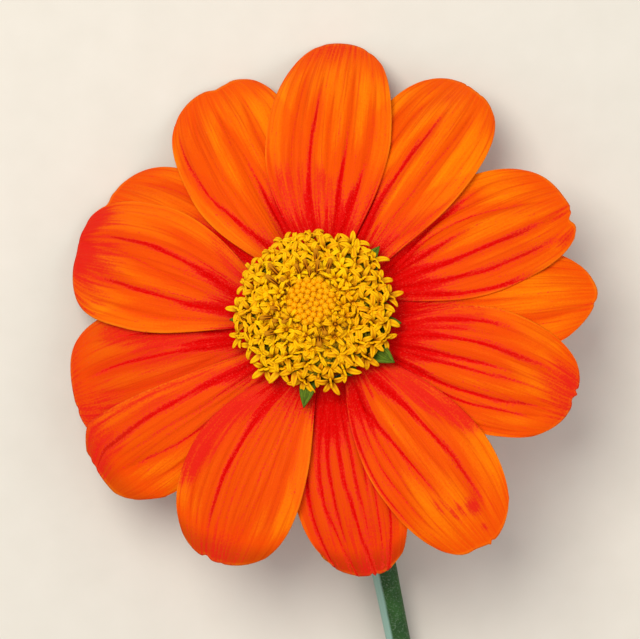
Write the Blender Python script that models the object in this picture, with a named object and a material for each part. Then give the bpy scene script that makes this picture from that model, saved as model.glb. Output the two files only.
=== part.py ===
"""A picked Mexican sunflower, laid down with its flower head facing up: thirteen orange ray petals in
their layers round a dome of small yellow florets, green bracts beneath, and a cut stem.

Sizes are in millimetres and degrees, and MM turns them into Blender's metres. Azimuths are counted
anticlockwise from +X, seen from above. A petal's left side is its anticlockwise side. A place on the
flower head is worked out in the head's own frame, with its axis along +Z, and head_to_world tilts it.
"""

import math
import random
from collections import namedtuple

import bmesh
import bpy
import numpy as np
from mathutils import Matrix, Vector

MM = 0.001
SEED = 7

# The head's frame: where the plane of the petals' roots crosses the axis, and how the axis leans.
HEAD_X = -1.25
HEAD_Y = 17.75
HEAD_HEIGHT = 18.9
HEAD_TILT = 18.0
HEAD_TILT_AZIMUTH = 125.0

# Gaps between neighbouring pieces, the second for flat-sided pieces over a domed one.
GAP = 0.3
CORE_GAP = 0.4

# Receptacle, the top of the stem that carries everything.
RECEPTACLE_RADIUS = 9.1
RECEPTACLE_RIM_TOP = 1.8
RECEPTACLE_RIM_BOTTOM = -1.0
RECEPTACLE_CROWN = 3.4
CUP_DEPTH = 7.0
NECK_RADIUS = 4.5

# Stem, from the neck's bend to the cut end.
NECK_BEND_RADIUS = 10.0
BEND_END_RADIUS = 3.1
STEM_END_RADIUS = 1.6
STEM_FLARE_LENGTH = 26.0
STEM_MIDDLE_RADIUS = 2.0
STEM_LENGTH = 68.35
STEM_AZIMUTH = -78.6
STEM_END_HEIGHT = 1.3
STEM_SIDES_LEVEL = 4

# Ray petals. A petal starts at its claw, beside the receptacle, rises a little and then falls.
PETAL_COUNT = 13
FIRST_PETAL_AZIMUTH = 86.5
CLAW_HALF_WIDTH = 2.0
CLAW_HEIGHT = 0.6
PETAL_THICKNESS = 0.6
PETAL_RISE = 12.0
DROOP_REACH = 30.0
LAYER_LIFT = 0.75
LAYER_TURN = 0.4
PETAL_CROWN = 0.6
PETAL_GROOVE_DEPTH = 0.22
PETAL_GROOVES = (-0.62, -0.34, 0.34, 0.62)
TIP_CORNER = 0.7
TIP_NOTCH_DEPTH = 0.6
TIP_NOTCH_WIDTH = 0.13
PETAL_CELLS_ALONG = 9
PETAL_CELLS_ACROSS = 10

# shift: the root's azimuth from its even place. turn: the direction that the petal leaves in, from
# straight out. bend: how far its tip is carried sideways. widest: where, as a part of the length.
# slant: how much further the left corner of the tip reaches. uneven: how much wider the left side is.
# square: 2 for a round tip, more for a blunt one. droop: its fall DROOP_REACH out. left and right: 1
# where that side lies over its neighbour, -1 where it lies under. cross: where across the petal it
# passes from one layer to the other. notch: where across the tip.
Petal = namedtuple(
    "Petal",
    "shift turn bend length half_width widest slant uneven square droop left right cross notch",
)
PETALS = (
    Petal(1.0, 9.0, -4.0, 35.8, 9.4, 0.50, 0.0, -0.10, 2.3, 11.5, 1, 1, 0.0, 0.45),
    Petal(0.0, 5.0, -0.8, 33.3, 9.1, 0.62, 0.2, -0.03, 2.3, 11.9, -1, 1, 0.0, 0.20),
    Petal(0.5, -6.0, 1.2, 30.4, 9.3, 0.52, -0.3, -0.03, 2.7, 11.7, -1, 1, 0.0, -0.30),
    Petal(0.0, 2.0, 1.1, 30.8, 9.0, 0.54, 0.0, -0.05, 1.8, 11.5, -1, -1, 0.0, 0.30),
    Petal(1.0, 7.0, -0.9, 29.2, 9.2, 0.54, 0.5, 0.04, 2.3, 11.5, 1, -1, 0.0, -0.40),
    Petal(0.0, -6.4, 2.2, 31.8, 8.7, 0.59, 0.0, 0.09, 2.1, 11.5, 1, 1, 0.0, 0.15),
    Petal(-1.0, 1.0, 0.0, 28.7, 8.2, 0.56, 0.5, 0.0, 2.2, 11.7, -1, -1, 0.0, -0.10),
    Petal(-2.2, -17.0, 6.2, 29.2, 9.4, 0.62, -0.2, 0.07, 2.2, 11.9, 1, 1, 0.0, -0.45),
    Petal(-2.5, 5.0, -6.1, 30.5, 8.4, 0.83, -1.3, -0.39, 1.5, 12.1, -1, 1, -0.3, -0.30),
    Petal(-0.8, -4.0, -0.3, 30.4, 10.0, 0.63, 0.1, 0.0, 2.9, 12.4, -1, -1, 0.0, 0.35),
    Petal(0.0, -18.5, 4.5, 31.6, 9.9, 0.62, -0.3, 0.10, 2.9, 12.4, 1, 1, 0.0, -0.25),
    Petal(1.0, 7.0, 0.0, 31.3, 9.2, 0.59, -0.2, 0.0, 2.5, 12.6, -1, -1, 0.0, 0.30),
    Petal(1.0, 4.7, -0.8, 33.0, 9.7, 0.52, -0.8, -0.06, 2.9, 10.4, 1, -1, 0.0, 0.35),
)

# Disc: a dome of open florets round a crown of closed buds. Each is larger than life.
DOME_HEIGHT = 10.2
DOME_FALL = 5.0
DOME_RADIUS = 11.2
GOLDEN_ANGLE = 137.508
BUD_COUNT = 30
BUD_FIELD_RADIUS = 4.3
BUD_CORE_RADIUS = 4.6
BUD_RADIUS = 0.68
BUD_SIDES = 5
BUD_STAND = 1.2
FLORET_COUNT = 62
FIRST_FLORET_RADIUS = 6.3
FLORET_LOBES = 5
FLORET_REACH = 2.0
FLORET_NOTCH = 0.8
FLORET_LOBE_DROP = 0.2
FLORET_TUBE_LENGTH = 2.3
FLORET_DISH = 0.7
FLORET_LEAN = 36.0
FLORET_TILT_SPREAD = 7.0
FLORET_CORE_DEPTH = 1.5

# Green tips of the scales that stand between the outer florets and the petals.
SCALE_TIPS = 21
SCALE_STEPS_PER_TIP = 4
SCALE_INNER_RADIUS = 9.5
SCALE_NOTCH_RADIUS = 11.0
SCALE_TIP_RADIUS = 13.2
SCALE_HEIGHT = 2.3
SCALE_SLOPE = 0.25
SCALE_THICKNESS = 0.5

# Bracts under the petals, in two rings.
Bract = namedtuple("Bract", "name count first_azimuth root_radius root_height reach fall half_width")
BRACT_RINGS = (
    Bract("inner_bract", 8, 80.0, 8.95, -1.95, 7.6, 0.2, 2.7),
    Bract("outer_bract", 5, 62.0, 7.5, -3.9, 8.6, 1.9, 2.5),
)
BRACT_THICKNESS = 0.8
BRACT_CELLS_ALONG = 7
BRACT_CELLS_ACROSS = 4

# sRGB colour, roughness
PETAL_FINISH = ("F5590A", 0.55)
FLORET_FINISH = ("F0AE12", 0.6)
BUD_FINISH = ("E9A01A", 0.6)
SCALE_FINISH = ("4C6414", 0.65)
BRACT_FINISH = ("5C7A34", 0.65)
STEM_FINISH = ("6E8F58", 0.6)


def clear_scene():
    for obj in list(bpy.data.objects):
        bpy.data.objects.remove(obj, do_unlink=True)


def head_matrix():
    lean = math.radians(HEAD_TILT_AZIMUTH)
    axis = Vector((-math.sin(lean), math.cos(lean), 0))
    centre = Vector((HEAD_X, HEAD_Y, HEAD_HEIGHT))
    return Matrix.Translation(centre) @ Matrix.Rotation(math.radians(HEAD_TILT), 4, axis)


HEAD = head_matrix()


def head_to_world(point):
    """A point of the head's frame, in millimetres, as a world point in metres."""
    return (HEAD @ Vector(point)) * MM


def material(name, finish):
    colour, roughness = finish
    made = bpy.data.materials.new(name)
    made.use_nodes = True
    shader = made.node_tree.nodes["Principled BSDF"]
    srgb = [int(colour[i : i + 2], 16) / 255 for i in (0, 2, 4)]
    linear = [c / 12.92 if c <= 0.04045 else ((c + 0.055) / 1.055) ** 2.4 for c in srgb]
    shader.inputs["Base Color"].default_value = (*linear, 1)
    shader.inputs["Roughness"].default_value = roughness
    made.diffuse_color = (*linear, 1)
    return made


def mesh_object(name, shape, finish, smooth=True):
    """A bmesh as an object in the scene, with its own material. Its points are world metres."""
    mesh = bpy.data.meshes.new(name)
    for face in shape.faces:
        face.smooth = smooth
    shape.to_mesh(mesh)
    shape.free()
    obj = bpy.data.objects.new(name, mesh)
    bpy.context.scene.collection.objects.link(obj)
    obj.data.materials.append(material(name, finish))
    return obj


def apply_modifiers(obj):
    bpy.context.view_layer.objects.active = obj
    for modifier in list(obj.modifiers):
        with bpy.context.temp_override(object=obj, active_object=obj):
            bpy.ops.object.modifier_apply(modifier=modifier.name)


def thicken(obj, thickness):
    """Solidify to both sides. The faces are triangles by now, so both sides are split alike."""
    wall = obj.modifiers.new("thickness", "SOLIDIFY")
    wall.thickness = thickness * MM
    wall.offset = 0


def leaf_object(name, cells_along, cells_across, place, thickness, finish):
    """A grid of triangles laid by place(v, u), with v from 0 at the root to 1 and u from -1 to 1."""
    shape = bmesh.new()
    bmesh.ops.create_grid(shape, x_segments=cells_along, y_segments=cells_across, size=1)
    for vert in shape.verts:
        vert.co = head_to_world(place((vert.co.x + 1) / 2, vert.co.y))
    keep_above_table(shape, thickness / 2)
    bmesh.ops.triangulate(shape, faces=shape.faces)
    obj = mesh_object(name, shape, finish)
    thicken(obj, thickness)
    return obj


def keep_above_table(shape, clearance):
    """The tips that the flower rests on lie flat on the table, which is the plane z = 0."""
    for vert in shape.verts:
        vert.co.z = max(vert.co.z, clearance * MM)


# Ray petals


def petal_azimuth(index):
    return FIRST_PETAL_AZIMUTH - 360 / PETAL_COUNT * index + PETALS[index].shift


def droop_at(azimuth):
    """The droop runs smoothly from petal to petal, so that neighbours stay in their layers."""
    places = np.array([petal_azimuth(index) % 360 for index in range(PETAL_COUNT)])
    droops = np.array([petal.droop for petal in PETALS])
    order = np.argsort(places)
    return np.interp(azimuth % 360, places[order], droops[order], period=360) / DROOP_REACH**2


def petal_half_width(petal, out):
    """From the claw the sides swing out to the widest place, and close in a rounded tip."""
    widest = petal.widest * petal.length
    if out <= widest:
        swing = math.sin(math.pi / 2 * (out / widest) ** 0.95)
        return CLAW_HALF_WIDTH + (petal.half_width - CLAW_HALF_WIDTH) * swing
    t = (out - widest) / (petal.length - widest)
    return petal.half_width * (1 - t**petal.square) ** (1 / petal.square)


def petal_point(index, v, u):
    """The middle surface of a petal, in the head's frame."""
    petal = PETALS[index]
    widest = petal.widest * petal.length
    tip = petal.length - widest
    corner = widest + tip * (1 - TIP_CORNER**petal.square) ** (1 / petal.square)
    out = v * corner
    side = u * petal_half_width(petal, out) * (1 + petal.uneven * u * min(out / widest, 1))
    arch = widest + tip * (1 - (abs(u) * TIP_CORNER) ** petal.square) ** (1 / petal.square)
    out += (arch - corner) * v**2 + petal.slant * u * v**3
    out -= TIP_NOTCH_DEPTH * v**6 * math.exp(-(((u - petal.notch) / TIP_NOTCH_WIDTH) ** 2))
    side += math.tan(math.radians(petal.turn)) * out + petal.bend * (out / petal.length) ** 2
    azimuth = math.radians(petal_azimuth(index))
    root = RECEPTACLE_RADIUS + GAP
    x = math.cos(azimuth) * (root + out) - math.sin(azimuth) * side
    y = math.sin(azimuth) * (root + out) + math.cos(azimuth) * side
    reach = math.hypot(x, y) - root
    fall = droop_at(math.degrees(math.atan2(y, x))) * reach**2
    turn = max(-1.0, min(1.0, (u - petal.cross) / LAYER_TURN))
    turn *= 1.5 - 0.5 * turn * turn
    layer = LAYER_LIFT * ((petal.left + petal.right) / 2 + (petal.left - petal.right) / 2 * turn)
    grooves = sum(math.exp(-(((u - groove) / 0.1) ** 2)) for groove in PETAL_GROOVES)
    grooves *= PETAL_GROOVE_DEPTH * math.sin(math.pi * min(v, 0.94))
    z = CLAW_HEIGHT + math.tan(math.radians(PETAL_RISE)) * reach - fall
    return x, y, z + layer - PETAL_CROWN * u * u - grooves


def build_petals():
    for index in range(PETAL_COUNT):
        leaf_object(
            f"ray_petal_{index + 1:02d}",
            PETAL_CELLS_ALONG,
            PETAL_CELLS_ACROSS,
            lambda v, u, index=index: petal_point(index, v, u),
            PETAL_THICKNESS,
            PETAL_FINISH,
        )


# Bracts


def bract_point(ring, azimuth, v, u):
    out = ring.reach * v
    side = u * ring.half_width * (0.62 + 0.38 * math.sin(math.pi * min(v * 1.6, 1) / 2))
    side *= math.sqrt(max(1 - (0.985 * v) ** 3, 0))
    root = ring.root_radius + GAP
    x = math.cos(azimuth) * (root + out) - math.sin(azimuth) * side
    y = math.sin(azimuth) * (root + out) + math.cos(azimuth) * side
    z = ring.root_height - ring.fall * v * v - 0.35 * u * u * (1 - v)
    return x, y, z


def build_bracts():
    for ring in BRACT_RINGS:
        for index in range(ring.count):
            azimuth = math.radians(ring.first_azimuth - 360 / ring.count * index)
            leaf_object(
                f"{ring.name}_{index + 1:02d}",
                BRACT_CELLS_ALONG,
                BRACT_CELLS_ACROSS,
                lambda v, u, ring=ring, azimuth=azimuth: bract_point(ring, azimuth, v, u),
                BRACT_THICKNESS,
                BRACT_FINISH,
            )


# Stem and receptacle


def receptacle_top(radius):
    return RECEPTACLE_CROWN - (RECEPTACLE_CROWN - RECEPTACLE_RIM_TOP) * (radius / RECEPTACLE_RADIUS) ** 2


def head_profile():
    """(height, radius) down the head's axis, from the receptacle's crown to the foot of its cup."""
    rows = []
    for part in (0.02, 0.25, 0.5, 0.75, 0.93, 1.0):
        radius = RECEPTACLE_RADIUS * part
        rows.append((receptacle_top(radius), radius))
    rows.append((RECEPTACLE_RIM_BOTTOM, RECEPTACLE_RADIUS))
    steps = 6
    for step in range(1, steps + 1):
        part = step / steps
        height = RECEPTACLE_RIM_BOTTOM - (CUP_DEPTH + RECEPTACLE_RIM_BOTTOM) * part
        swing = (1 + math.cos(math.pi * part)) / 2
        rows.append((height, NECK_RADIUS + (RECEPTACLE_RADIUS - NECK_RADIUS) * swing))
    return rows


def neck_and_stem():
    """(world point, radius) from the cup's foot round the bend to the cut end, in millimetres."""
    start = HEAD @ Vector((0, 0, -CUP_DEPTH))
    down = (HEAD.to_3x3() @ Vector((0, 0, -1))).normalized()
    azimuth = math.radians(STEM_AZIMUTH)
    level = Vector((math.cos(azimuth), math.sin(azimuth), 0))
    bend_foot = start.z - NECK_BEND_RADIUS * (1 + down.z * 0.25)
    slope = math.atan2(bend_foot - STEM_END_HEIGHT, STEM_LENGTH)
    rows = []
    for _ in range(4):
        along = (level * math.cos(slope) - Vector((0, 0, math.sin(slope)))).normalized()
        angle = down.angle(along)
        rows = []
        steps = 9
        for step in range(1, steps + 1):
            turn = angle * step / steps
            swung = (math.cos(angle - turn) - math.cos(angle)) * down + (1 - math.cos(turn)) * along
            point = start + swung * NECK_BEND_RADIUS / math.sin(angle)
            radius = NECK_RADIUS + (BEND_END_RADIUS - NECK_RADIUS) * step / steps
            rows.append((point, radius))
        slope = math.asin((rows[-1][0].z - STEM_END_HEIGHT) / STEM_LENGTH)
    bend_end = rows[-1][0]
    for part in (0.07, 0.15, 0.25, 0.37, 0.5, 0.62, 0.75, 0.88, 1.0):
        length = STEM_LENGTH * part
        flare = math.exp(-length / STEM_FLARE_LENGTH * 2.2)
        slim = STEM_MIDDLE_RADIUS + (STEM_END_RADIUS - STEM_MIDDLE_RADIUS) * part
        rows.append((bend_end + along * length, slim + (BEND_END_RADIUS - slim) * flare))
    return rows


def build_peduncle():
    """A bevelled curve down the head's axis, round the neck's bend and along the stem."""
    rows = [(HEAD @ Vector((0, 0, height)), radius) for height, radius in head_profile()]
    rows += neck_and_stem()
    curve = bpy.data.curves.new("peduncle", "CURVE")
    curve.dimensions = "3D"
    curve.bevel_depth = MM
    curve.bevel_resolution = STEM_SIDES_LEVEL
    curve.use_fill_caps = True
    spline = curve.splines.new("POLY")
    spline.points.add(len(rows) - 1)
    for point, (place, radius) in zip(spline.points, rows):
        point.co = (*(place * MM), 1)
        point.radius = radius
    obj = bpy.data.objects.new("peduncle", curve)
    bpy.context.scene.collection.objects.link(obj)
    with bpy.context.temp_override(
        object=obj, active_object=obj, selected_objects=[obj], selected_editable_objects=[obj]
    ):
        bpy.ops.object.convert(target="MESH")
    shape = bmesh.new()
    shape.from_mesh(obj.data)
    bmesh.ops.remove_doubles(shape, verts=shape.verts, dist=0.0005 * MM)
    bmesh.ops.recalc_face_normals(shape, faces=shape.faces)
    bottom = Vector((0, 0, 0))
    cut = bmesh.ops.bisect_plane(
        shape,
        geom=shape.verts[:] + shape.edges[:] + shape.faces[:],
        plane_co=bottom,
        plane_no=(0, 0, -1),
        clear_outer=True,
    )
    rim = [item for item in cut["geom_cut"] if isinstance(item, bmesh.types.BMEdge)]
    bmesh.ops.holes_fill(shape, edges=rim)
    bmesh.ops.recalc_face_normals(shape, faces=shape.faces)
    for face in shape.faces:
        face.smooth = True
    shape.to_mesh(obj.data)
    shape.free()
    obj.data.materials.append(material("peduncle", STEM_FINISH))


# Disc


def dome_height(radius):
    return DOME_HEIGHT - DOME_FALL * (radius / DOME_RADIUS) ** 2


def spun_core(name, profile, finish):
    """A solid of revolution round the head's axis. Its profile is a loop of (radius, height)."""
    shape = bmesh.new()
    verts = [shape.verts.new((radius, 0, height)) for radius, height in profile]
    edges = [shape.edges.new((verts[i], verts[(i + 1) % len(verts)])) for i in range(len(verts))]
    if profile[0][0] == 0:
        shape.edges.remove(edges.pop())
    bmesh.ops.spin(
        shape,
        geom=verts + edges,
        axis=(0, 0, 1),
        cent=(0, 0, 0),
        steps=32,
        angle=math.tau,
        use_merge=True,
    )
    bmesh.ops.remove_doubles(shape, verts=shape.verts, dist=0.001)
    bmesh.ops.recalc_face_normals(shape, faces=shape.faces)
    for vert in shape.verts:
        vert.co = head_to_world(vert.co)
    return mesh_object(name, shape, finish)


def closed_ring_stack(rings, cap_bottom, cap_top):
    """A closed shape from rings of points, each fanned to a point at its end."""
    shape = bmesh.new()
    loops = [[shape.verts.new(point) for point in ring] for ring in rings]
    for low, high in zip(loops, loops[1:]):
        count = len(low)
        for i in range(count):
            shape.faces.new((low[i], low[(i + 1) % count], high[(i + 1) % count], high[i]))
    for ring, point, flip in ((loops[0], cap_bottom, True), (loops[-1], cap_top, False)):
        centre = shape.verts.new(point)
        for i in range(len(ring)):
            pair = (ring[i], ring[(i + 1) % len(ring)])
            shape.faces.new((centre, pair[1], pair[0]) if flip else (centre, *pair))
    bmesh.ops.triangulate(shape, faces=shape.faces)
    bmesh.ops.recalc_face_normals(shape, faces=shape.faces)
    return shape


def star_shape():
    """One open floret: it flares from its root into five pointed lobes round a dished throat."""
    star = []
    for i in range(2 * FLORET_LOBES):
        radius, drop = (FLORET_REACH, FLORET_LOBE_DROP) if i % 2 == 0 else (FLORET_NOTCH, 0)
        angle = math.pi * i / FLORET_LOBES
        star.append((radius * math.cos(angle), radius * math.sin(angle), -drop))
    return closed_ring_stack((star,), (0, 0, -FLORET_TUBE_LENGTH), (0, 0, -FLORET_DISH))


def bud_shape():
    """One closed bud: a small point on a tapering foot."""
    ring = []
    for i in range(BUD_SIDES):
        angle = math.tau * i / BUD_SIDES
        ring.append((BUD_RADIUS * math.cos(angle), BUD_RADIUS * math.sin(angle), 0))
    return closed_ring_stack((ring,), (0, 0, -BUD_STAND), (0, 0, BUD_RADIUS * 0.8))


def spiral_places(count, inner, outer):
    """(radius, azimuth) on a golden-angle spiral that fills the ring between two radii evenly."""
    places = []
    for index in range(count):
        part = (index + 0.5) / count
        radius = math.sqrt(inner**2 + (outer**2 - inner**2) * part)
        places.append((radius, math.radians(GOLDEN_ANGLE * index)))
    return places


def stand(radius, azimuth, height, lean, twist):
    """The matrix that stands a floret on the dome, leaning out from the axis."""
    place = Vector((radius * math.cos(azimuth), radius * math.sin(azimuth), height))
    out = Matrix.Rotation(azimuth, 4, "Z") @ Matrix.Rotation(lean, 4, "Y")
    return HEAD @ Matrix.Translation(place) @ out @ Matrix.Rotation(twist, 4, "Z")


def fused(core, shape, places):
    """The core with a copy of the shape at each place, joined by one Boolean on a collection."""
    extra = bpy.data.collections.new(core.name + "_parts")
    bpy.context.scene.collection.children.link(extra)
    for number, place in enumerate(places):
        copy = shape.copy()
        bmesh.ops.transform(copy, matrix=Matrix.Scale(MM, 4) @ place, verts=copy.verts)
        mesh = bpy.data.meshes.new(f"{core.name}_{number}")
        copy.to_mesh(mesh)
        copy.free()
        extra.objects.link(bpy.data.objects.new(mesh.name, mesh))
    shape.free()
    join = core.modifiers.new("join", "BOOLEAN")
    join.operation = "UNION"
    join.operand_type = "COLLECTION"
    join.collection = extra
    join.solver = "MANIFOLD"
    apply_modifiers(core)
    for obj in list(extra.objects):
        bpy.data.objects.remove(obj, do_unlink=True)
    bpy.data.collections.remove(extra)
    fill_pockets(core)


def fill_pockets(obj):
    """The joined florets close off small pockets between them. Only the outer shell is kept."""
    shape = bmesh.new()
    shape.from_mesh(obj.data)
    left = set(shape.verts)
    shells = []
    while left:
        shell = [left.pop()]
        for vert in shell:
            for edge in vert.link_edges:
                other = edge.other_vert(vert)
                if other in left:
                    left.remove(other)
                    shell.append(other)
        shells.append(shell)
    shells.sort(key=len)
    inner = [vert for shell in shells[:-1] for vert in shell]
    bmesh.ops.delete(shape, geom=inner, context="VERTS")
    shape.to_mesh(obj.data)
    shape.free()


def build_open_florets(draw):
    inner = BUD_CORE_RADIUS + GAP
    edge = DOME_RADIUS * 0.92
    waist = RECEPTACLE_RADIUS - 0.2
    profile = [
        (inner, receptacle_top(inner) + CORE_GAP),
        (waist, receptacle_top(waist) + CORE_GAP),
        (waist + 0.2, SCALE_HEIGHT + 0.9),
        (edge, SCALE_HEIGHT + 1.8),
    ]
    for part in (0.97, 0.75, 0.5, 0.25, 0.0):
        radius = inner + (edge - inner) * part
        profile.append((radius, dome_height(radius) - FLORET_CORE_DEPTH))
    core = spun_core("open_florets", profile, FLORET_FINISH)
    places = []
    for radius, azimuth in spiral_places(FLORET_COUNT, FIRST_FLORET_RADIUS, DOME_RADIUS):
        lean = FLORET_LEAN * (radius / DOME_RADIUS) ** 1.5
        lean += draw.uniform(-FLORET_TILT_SPREAD, FLORET_TILT_SPREAD)
        twist = draw.uniform(0, math.tau)
        places.append(stand(radius, azimuth, dome_height(radius), math.radians(lean), twist))
    fused(core, star_shape(), places)


def build_central_buds():
    profile = [(0, receptacle_top(0) + CORE_GAP)]
    profile.append((BUD_CORE_RADIUS, receptacle_top(BUD_CORE_RADIUS) + CORE_GAP))
    for part in (1.0, 0.66, 0.33, 0.0):
        radius = BUD_CORE_RADIUS * part
        profile.append((radius, dome_height(radius) - 1.2))
    core = spun_core("central_buds", profile, BUD_FINISH)
    places = []
    for radius, azimuth in spiral_places(BUD_COUNT, 0, BUD_FIELD_RADIUS - BUD_RADIUS * 0.6):
        lean = math.radians(10 * radius / BUD_FIELD_RADIUS)
        places.append(stand(radius, azimuth, dome_height(radius) - 0.5, lean, azimuth))
    fused(core, bud_shape(), places)


def build_scale_tips():
    """A saw-edged green collar under the outer florets."""
    steps = SCALE_TIPS * SCALE_STEPS_PER_TIP
    shape = bmesh.new()
    rings = []
    for part in (0, 1):
        ring = []
        for step in range(steps):
            saw = 1 - abs(2 * (step % SCALE_STEPS_PER_TIP) / SCALE_STEPS_PER_TIP - 1)
            outer = SCALE_NOTCH_RADIUS + (SCALE_TIP_RADIUS - SCALE_NOTCH_RADIUS) * saw**0.8
            radius = SCALE_INNER_RADIUS + (outer - SCALE_INNER_RADIUS) * part
            height = SCALE_HEIGHT + SCALE_SLOPE * (radius - SCALE_INNER_RADIUS)
            angle = math.tau * step / steps
            point = (radius * math.cos(angle), radius * math.sin(angle), height)
            ring.append(shape.verts.new(head_to_world(point)))
        rings.append(ring)
    for low, high in zip(rings, rings[1:]):
        for i in range(steps):
            shape.faces.new((low[i], high[i], high[(i + 1) % steps], low[(i + 1) % steps]))
    bmesh.ops.triangulate(shape, faces=shape.faces)
    thicken(mesh_object("scale_tips", shape, SCALE_FINISH), SCALE_THICKNESS)


def build():
    clear_scene()
    draw = random.Random(SEED)
    build_peduncle()
    build_bracts()
    build_petals()
    build_scale_tips()
    build_open_florets(draw)
    build_central_buds()


build()
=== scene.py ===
"""The looks of a picked Mexican sunflower that lies on a pale table with its flower head facing up.

Sizes are in millimetres and degrees, and MM turns them into Blender's metres. A petal is laid over a
grid: v runs from 0 at its root to 1 at its tip, and u from -1 to 1 across it, with 1 on its
anticlockwise side. Places on the flower head are worked out round its own axis and then leaned with it.
"""

import math
import random
from collections import namedtuple

import bpy
import numpy as np
from mathutils import Matrix, Vector
from mathutils.bvhtree import BVHTree


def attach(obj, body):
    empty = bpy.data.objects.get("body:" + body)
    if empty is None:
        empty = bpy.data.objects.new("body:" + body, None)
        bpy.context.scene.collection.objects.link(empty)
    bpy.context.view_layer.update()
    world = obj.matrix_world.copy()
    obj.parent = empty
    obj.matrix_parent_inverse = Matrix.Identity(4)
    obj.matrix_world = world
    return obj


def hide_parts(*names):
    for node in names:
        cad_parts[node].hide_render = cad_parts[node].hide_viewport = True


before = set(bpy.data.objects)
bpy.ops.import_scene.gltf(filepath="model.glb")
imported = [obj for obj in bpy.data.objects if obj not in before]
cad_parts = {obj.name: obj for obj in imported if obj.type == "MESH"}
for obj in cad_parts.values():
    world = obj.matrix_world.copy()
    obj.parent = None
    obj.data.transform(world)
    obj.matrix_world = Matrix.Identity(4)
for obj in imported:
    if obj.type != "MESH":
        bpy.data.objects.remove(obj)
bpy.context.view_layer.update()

MM = 0.001

# The flower head: where the plane of the petals' roots crosses its axis, and how the axis leans.
HEAD_X = -1.25
HEAD_Y = 17.75
HEAD_HEIGHT = 18.9
HEAD_TILT = 18.0
HEAD_TILT_AZIMUTH = 125.0

# Receptacle, the broad top of the stem, then the cup under it, the neck's bend and the stem.
RECEPTACLE_RADIUS = 9.1
RECEPTACLE_RIM_TOP = 1.8
RECEPTACLE_RIM_BOTTOM = -1.0
RECEPTACLE_CROWN = 3.4
CUP_DEPTH = 7.0
NECK_RADIUS = 4.5
NECK_BEND_RADIUS = 10.0
BEND_END_RADIUS = 3.1
STEM_END_RADIUS = 1.6
STEM_FLARE_LENGTH = 26.0
STEM_MIDDLE_RADIUS = 2.0
STEM_LENGTH = 68.35
STEM_AZIMUTH = -78.6
STEM_END_HEIGHT = 1.3
CUP_ROWS = 16
BEND_ROWS = 24
STEM_ROWS = 44

# Ribs of the stem, and its bloom, which is painted pale on the side towards the window as painted
# light. Rows are counted from the top of the receptacle. A rib is higher on a thicker stem, but only up
# to RIBBED_RADIUS. The stem's underside is pressed flat at STEM_FLAT.
STEM_RIBS = 13
STEM_RIB_HEIGHT = 0.035
RIBBED_RADIUS = 2.4
FIRST_RIBBED_ROW = 9
LIT_BLOOM_FADE_ROWS = 30
STEM_FLAT = 0.02
LIT_SIDE = np.array((-0.94, 0.0, 0.34))

# Ray petals. A petal starts at its narrow claw, rises a little and then falls. LAYER_LIFT is how far
# a side lies above or below the middle, and LAYER_TURN how broadly a petal passes from one layer to
# the other. CLAW_TUCK draws the sides of neighbouring claws together, out to CLAW_TUCK_REACH.
# PETAL_SIZE is an even petal's length and width. A fold is a narrow furrow in a broad dip, and it
# wanders a little. Over a full RIDGE_SPAN the colour goes from the painted shade of a furrow to the
# painted light of a ridge. A petal lies over another that is found between OVERLAP_START and
# OVERLAP_REACH under it, and is painted deeper there, as painted shade.
GAP = 0.3
PETAL_COUNT = 13
FIRST_PETAL_AZIMUTH = 86.5
CLAW_HALF_WIDTH = 2.7
CLAW_HEIGHT = 0.6
PETAL_THICKNESS = 0.3
PETAL_RISE = 12.0
DROOP_REACH = 30.0
LAYER_LIFT = 0.58
LAYER_TURN = 0.4
PETAL_CROWN = 0.6
CLAW_TUCK = 0.45
CLAW_TUCK_REACH = 8.0
TIP_CORNER = 0.7
PETAL_CELLS_ALONG = 120
PETAL_CELLS_ACROSS = 108
PETAL_SIZE = (32.0, 18.0)
FOLD_DEPTH = 0.28
FOLD_WIDTH = 0.3
DIP_DEPTH = 0.42
DIP_WIDTH = 1.25
FOLD_WANDER = 0.13
CREASE_WIDTH = 0.2
RIB_HEIGHT = 0.045
RIDGE_SPAN = 0.45
EDGE_WAVE = 0.2
OVERLAP_START = 0.05
OVERLAP_REACH = 5.0

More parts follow.
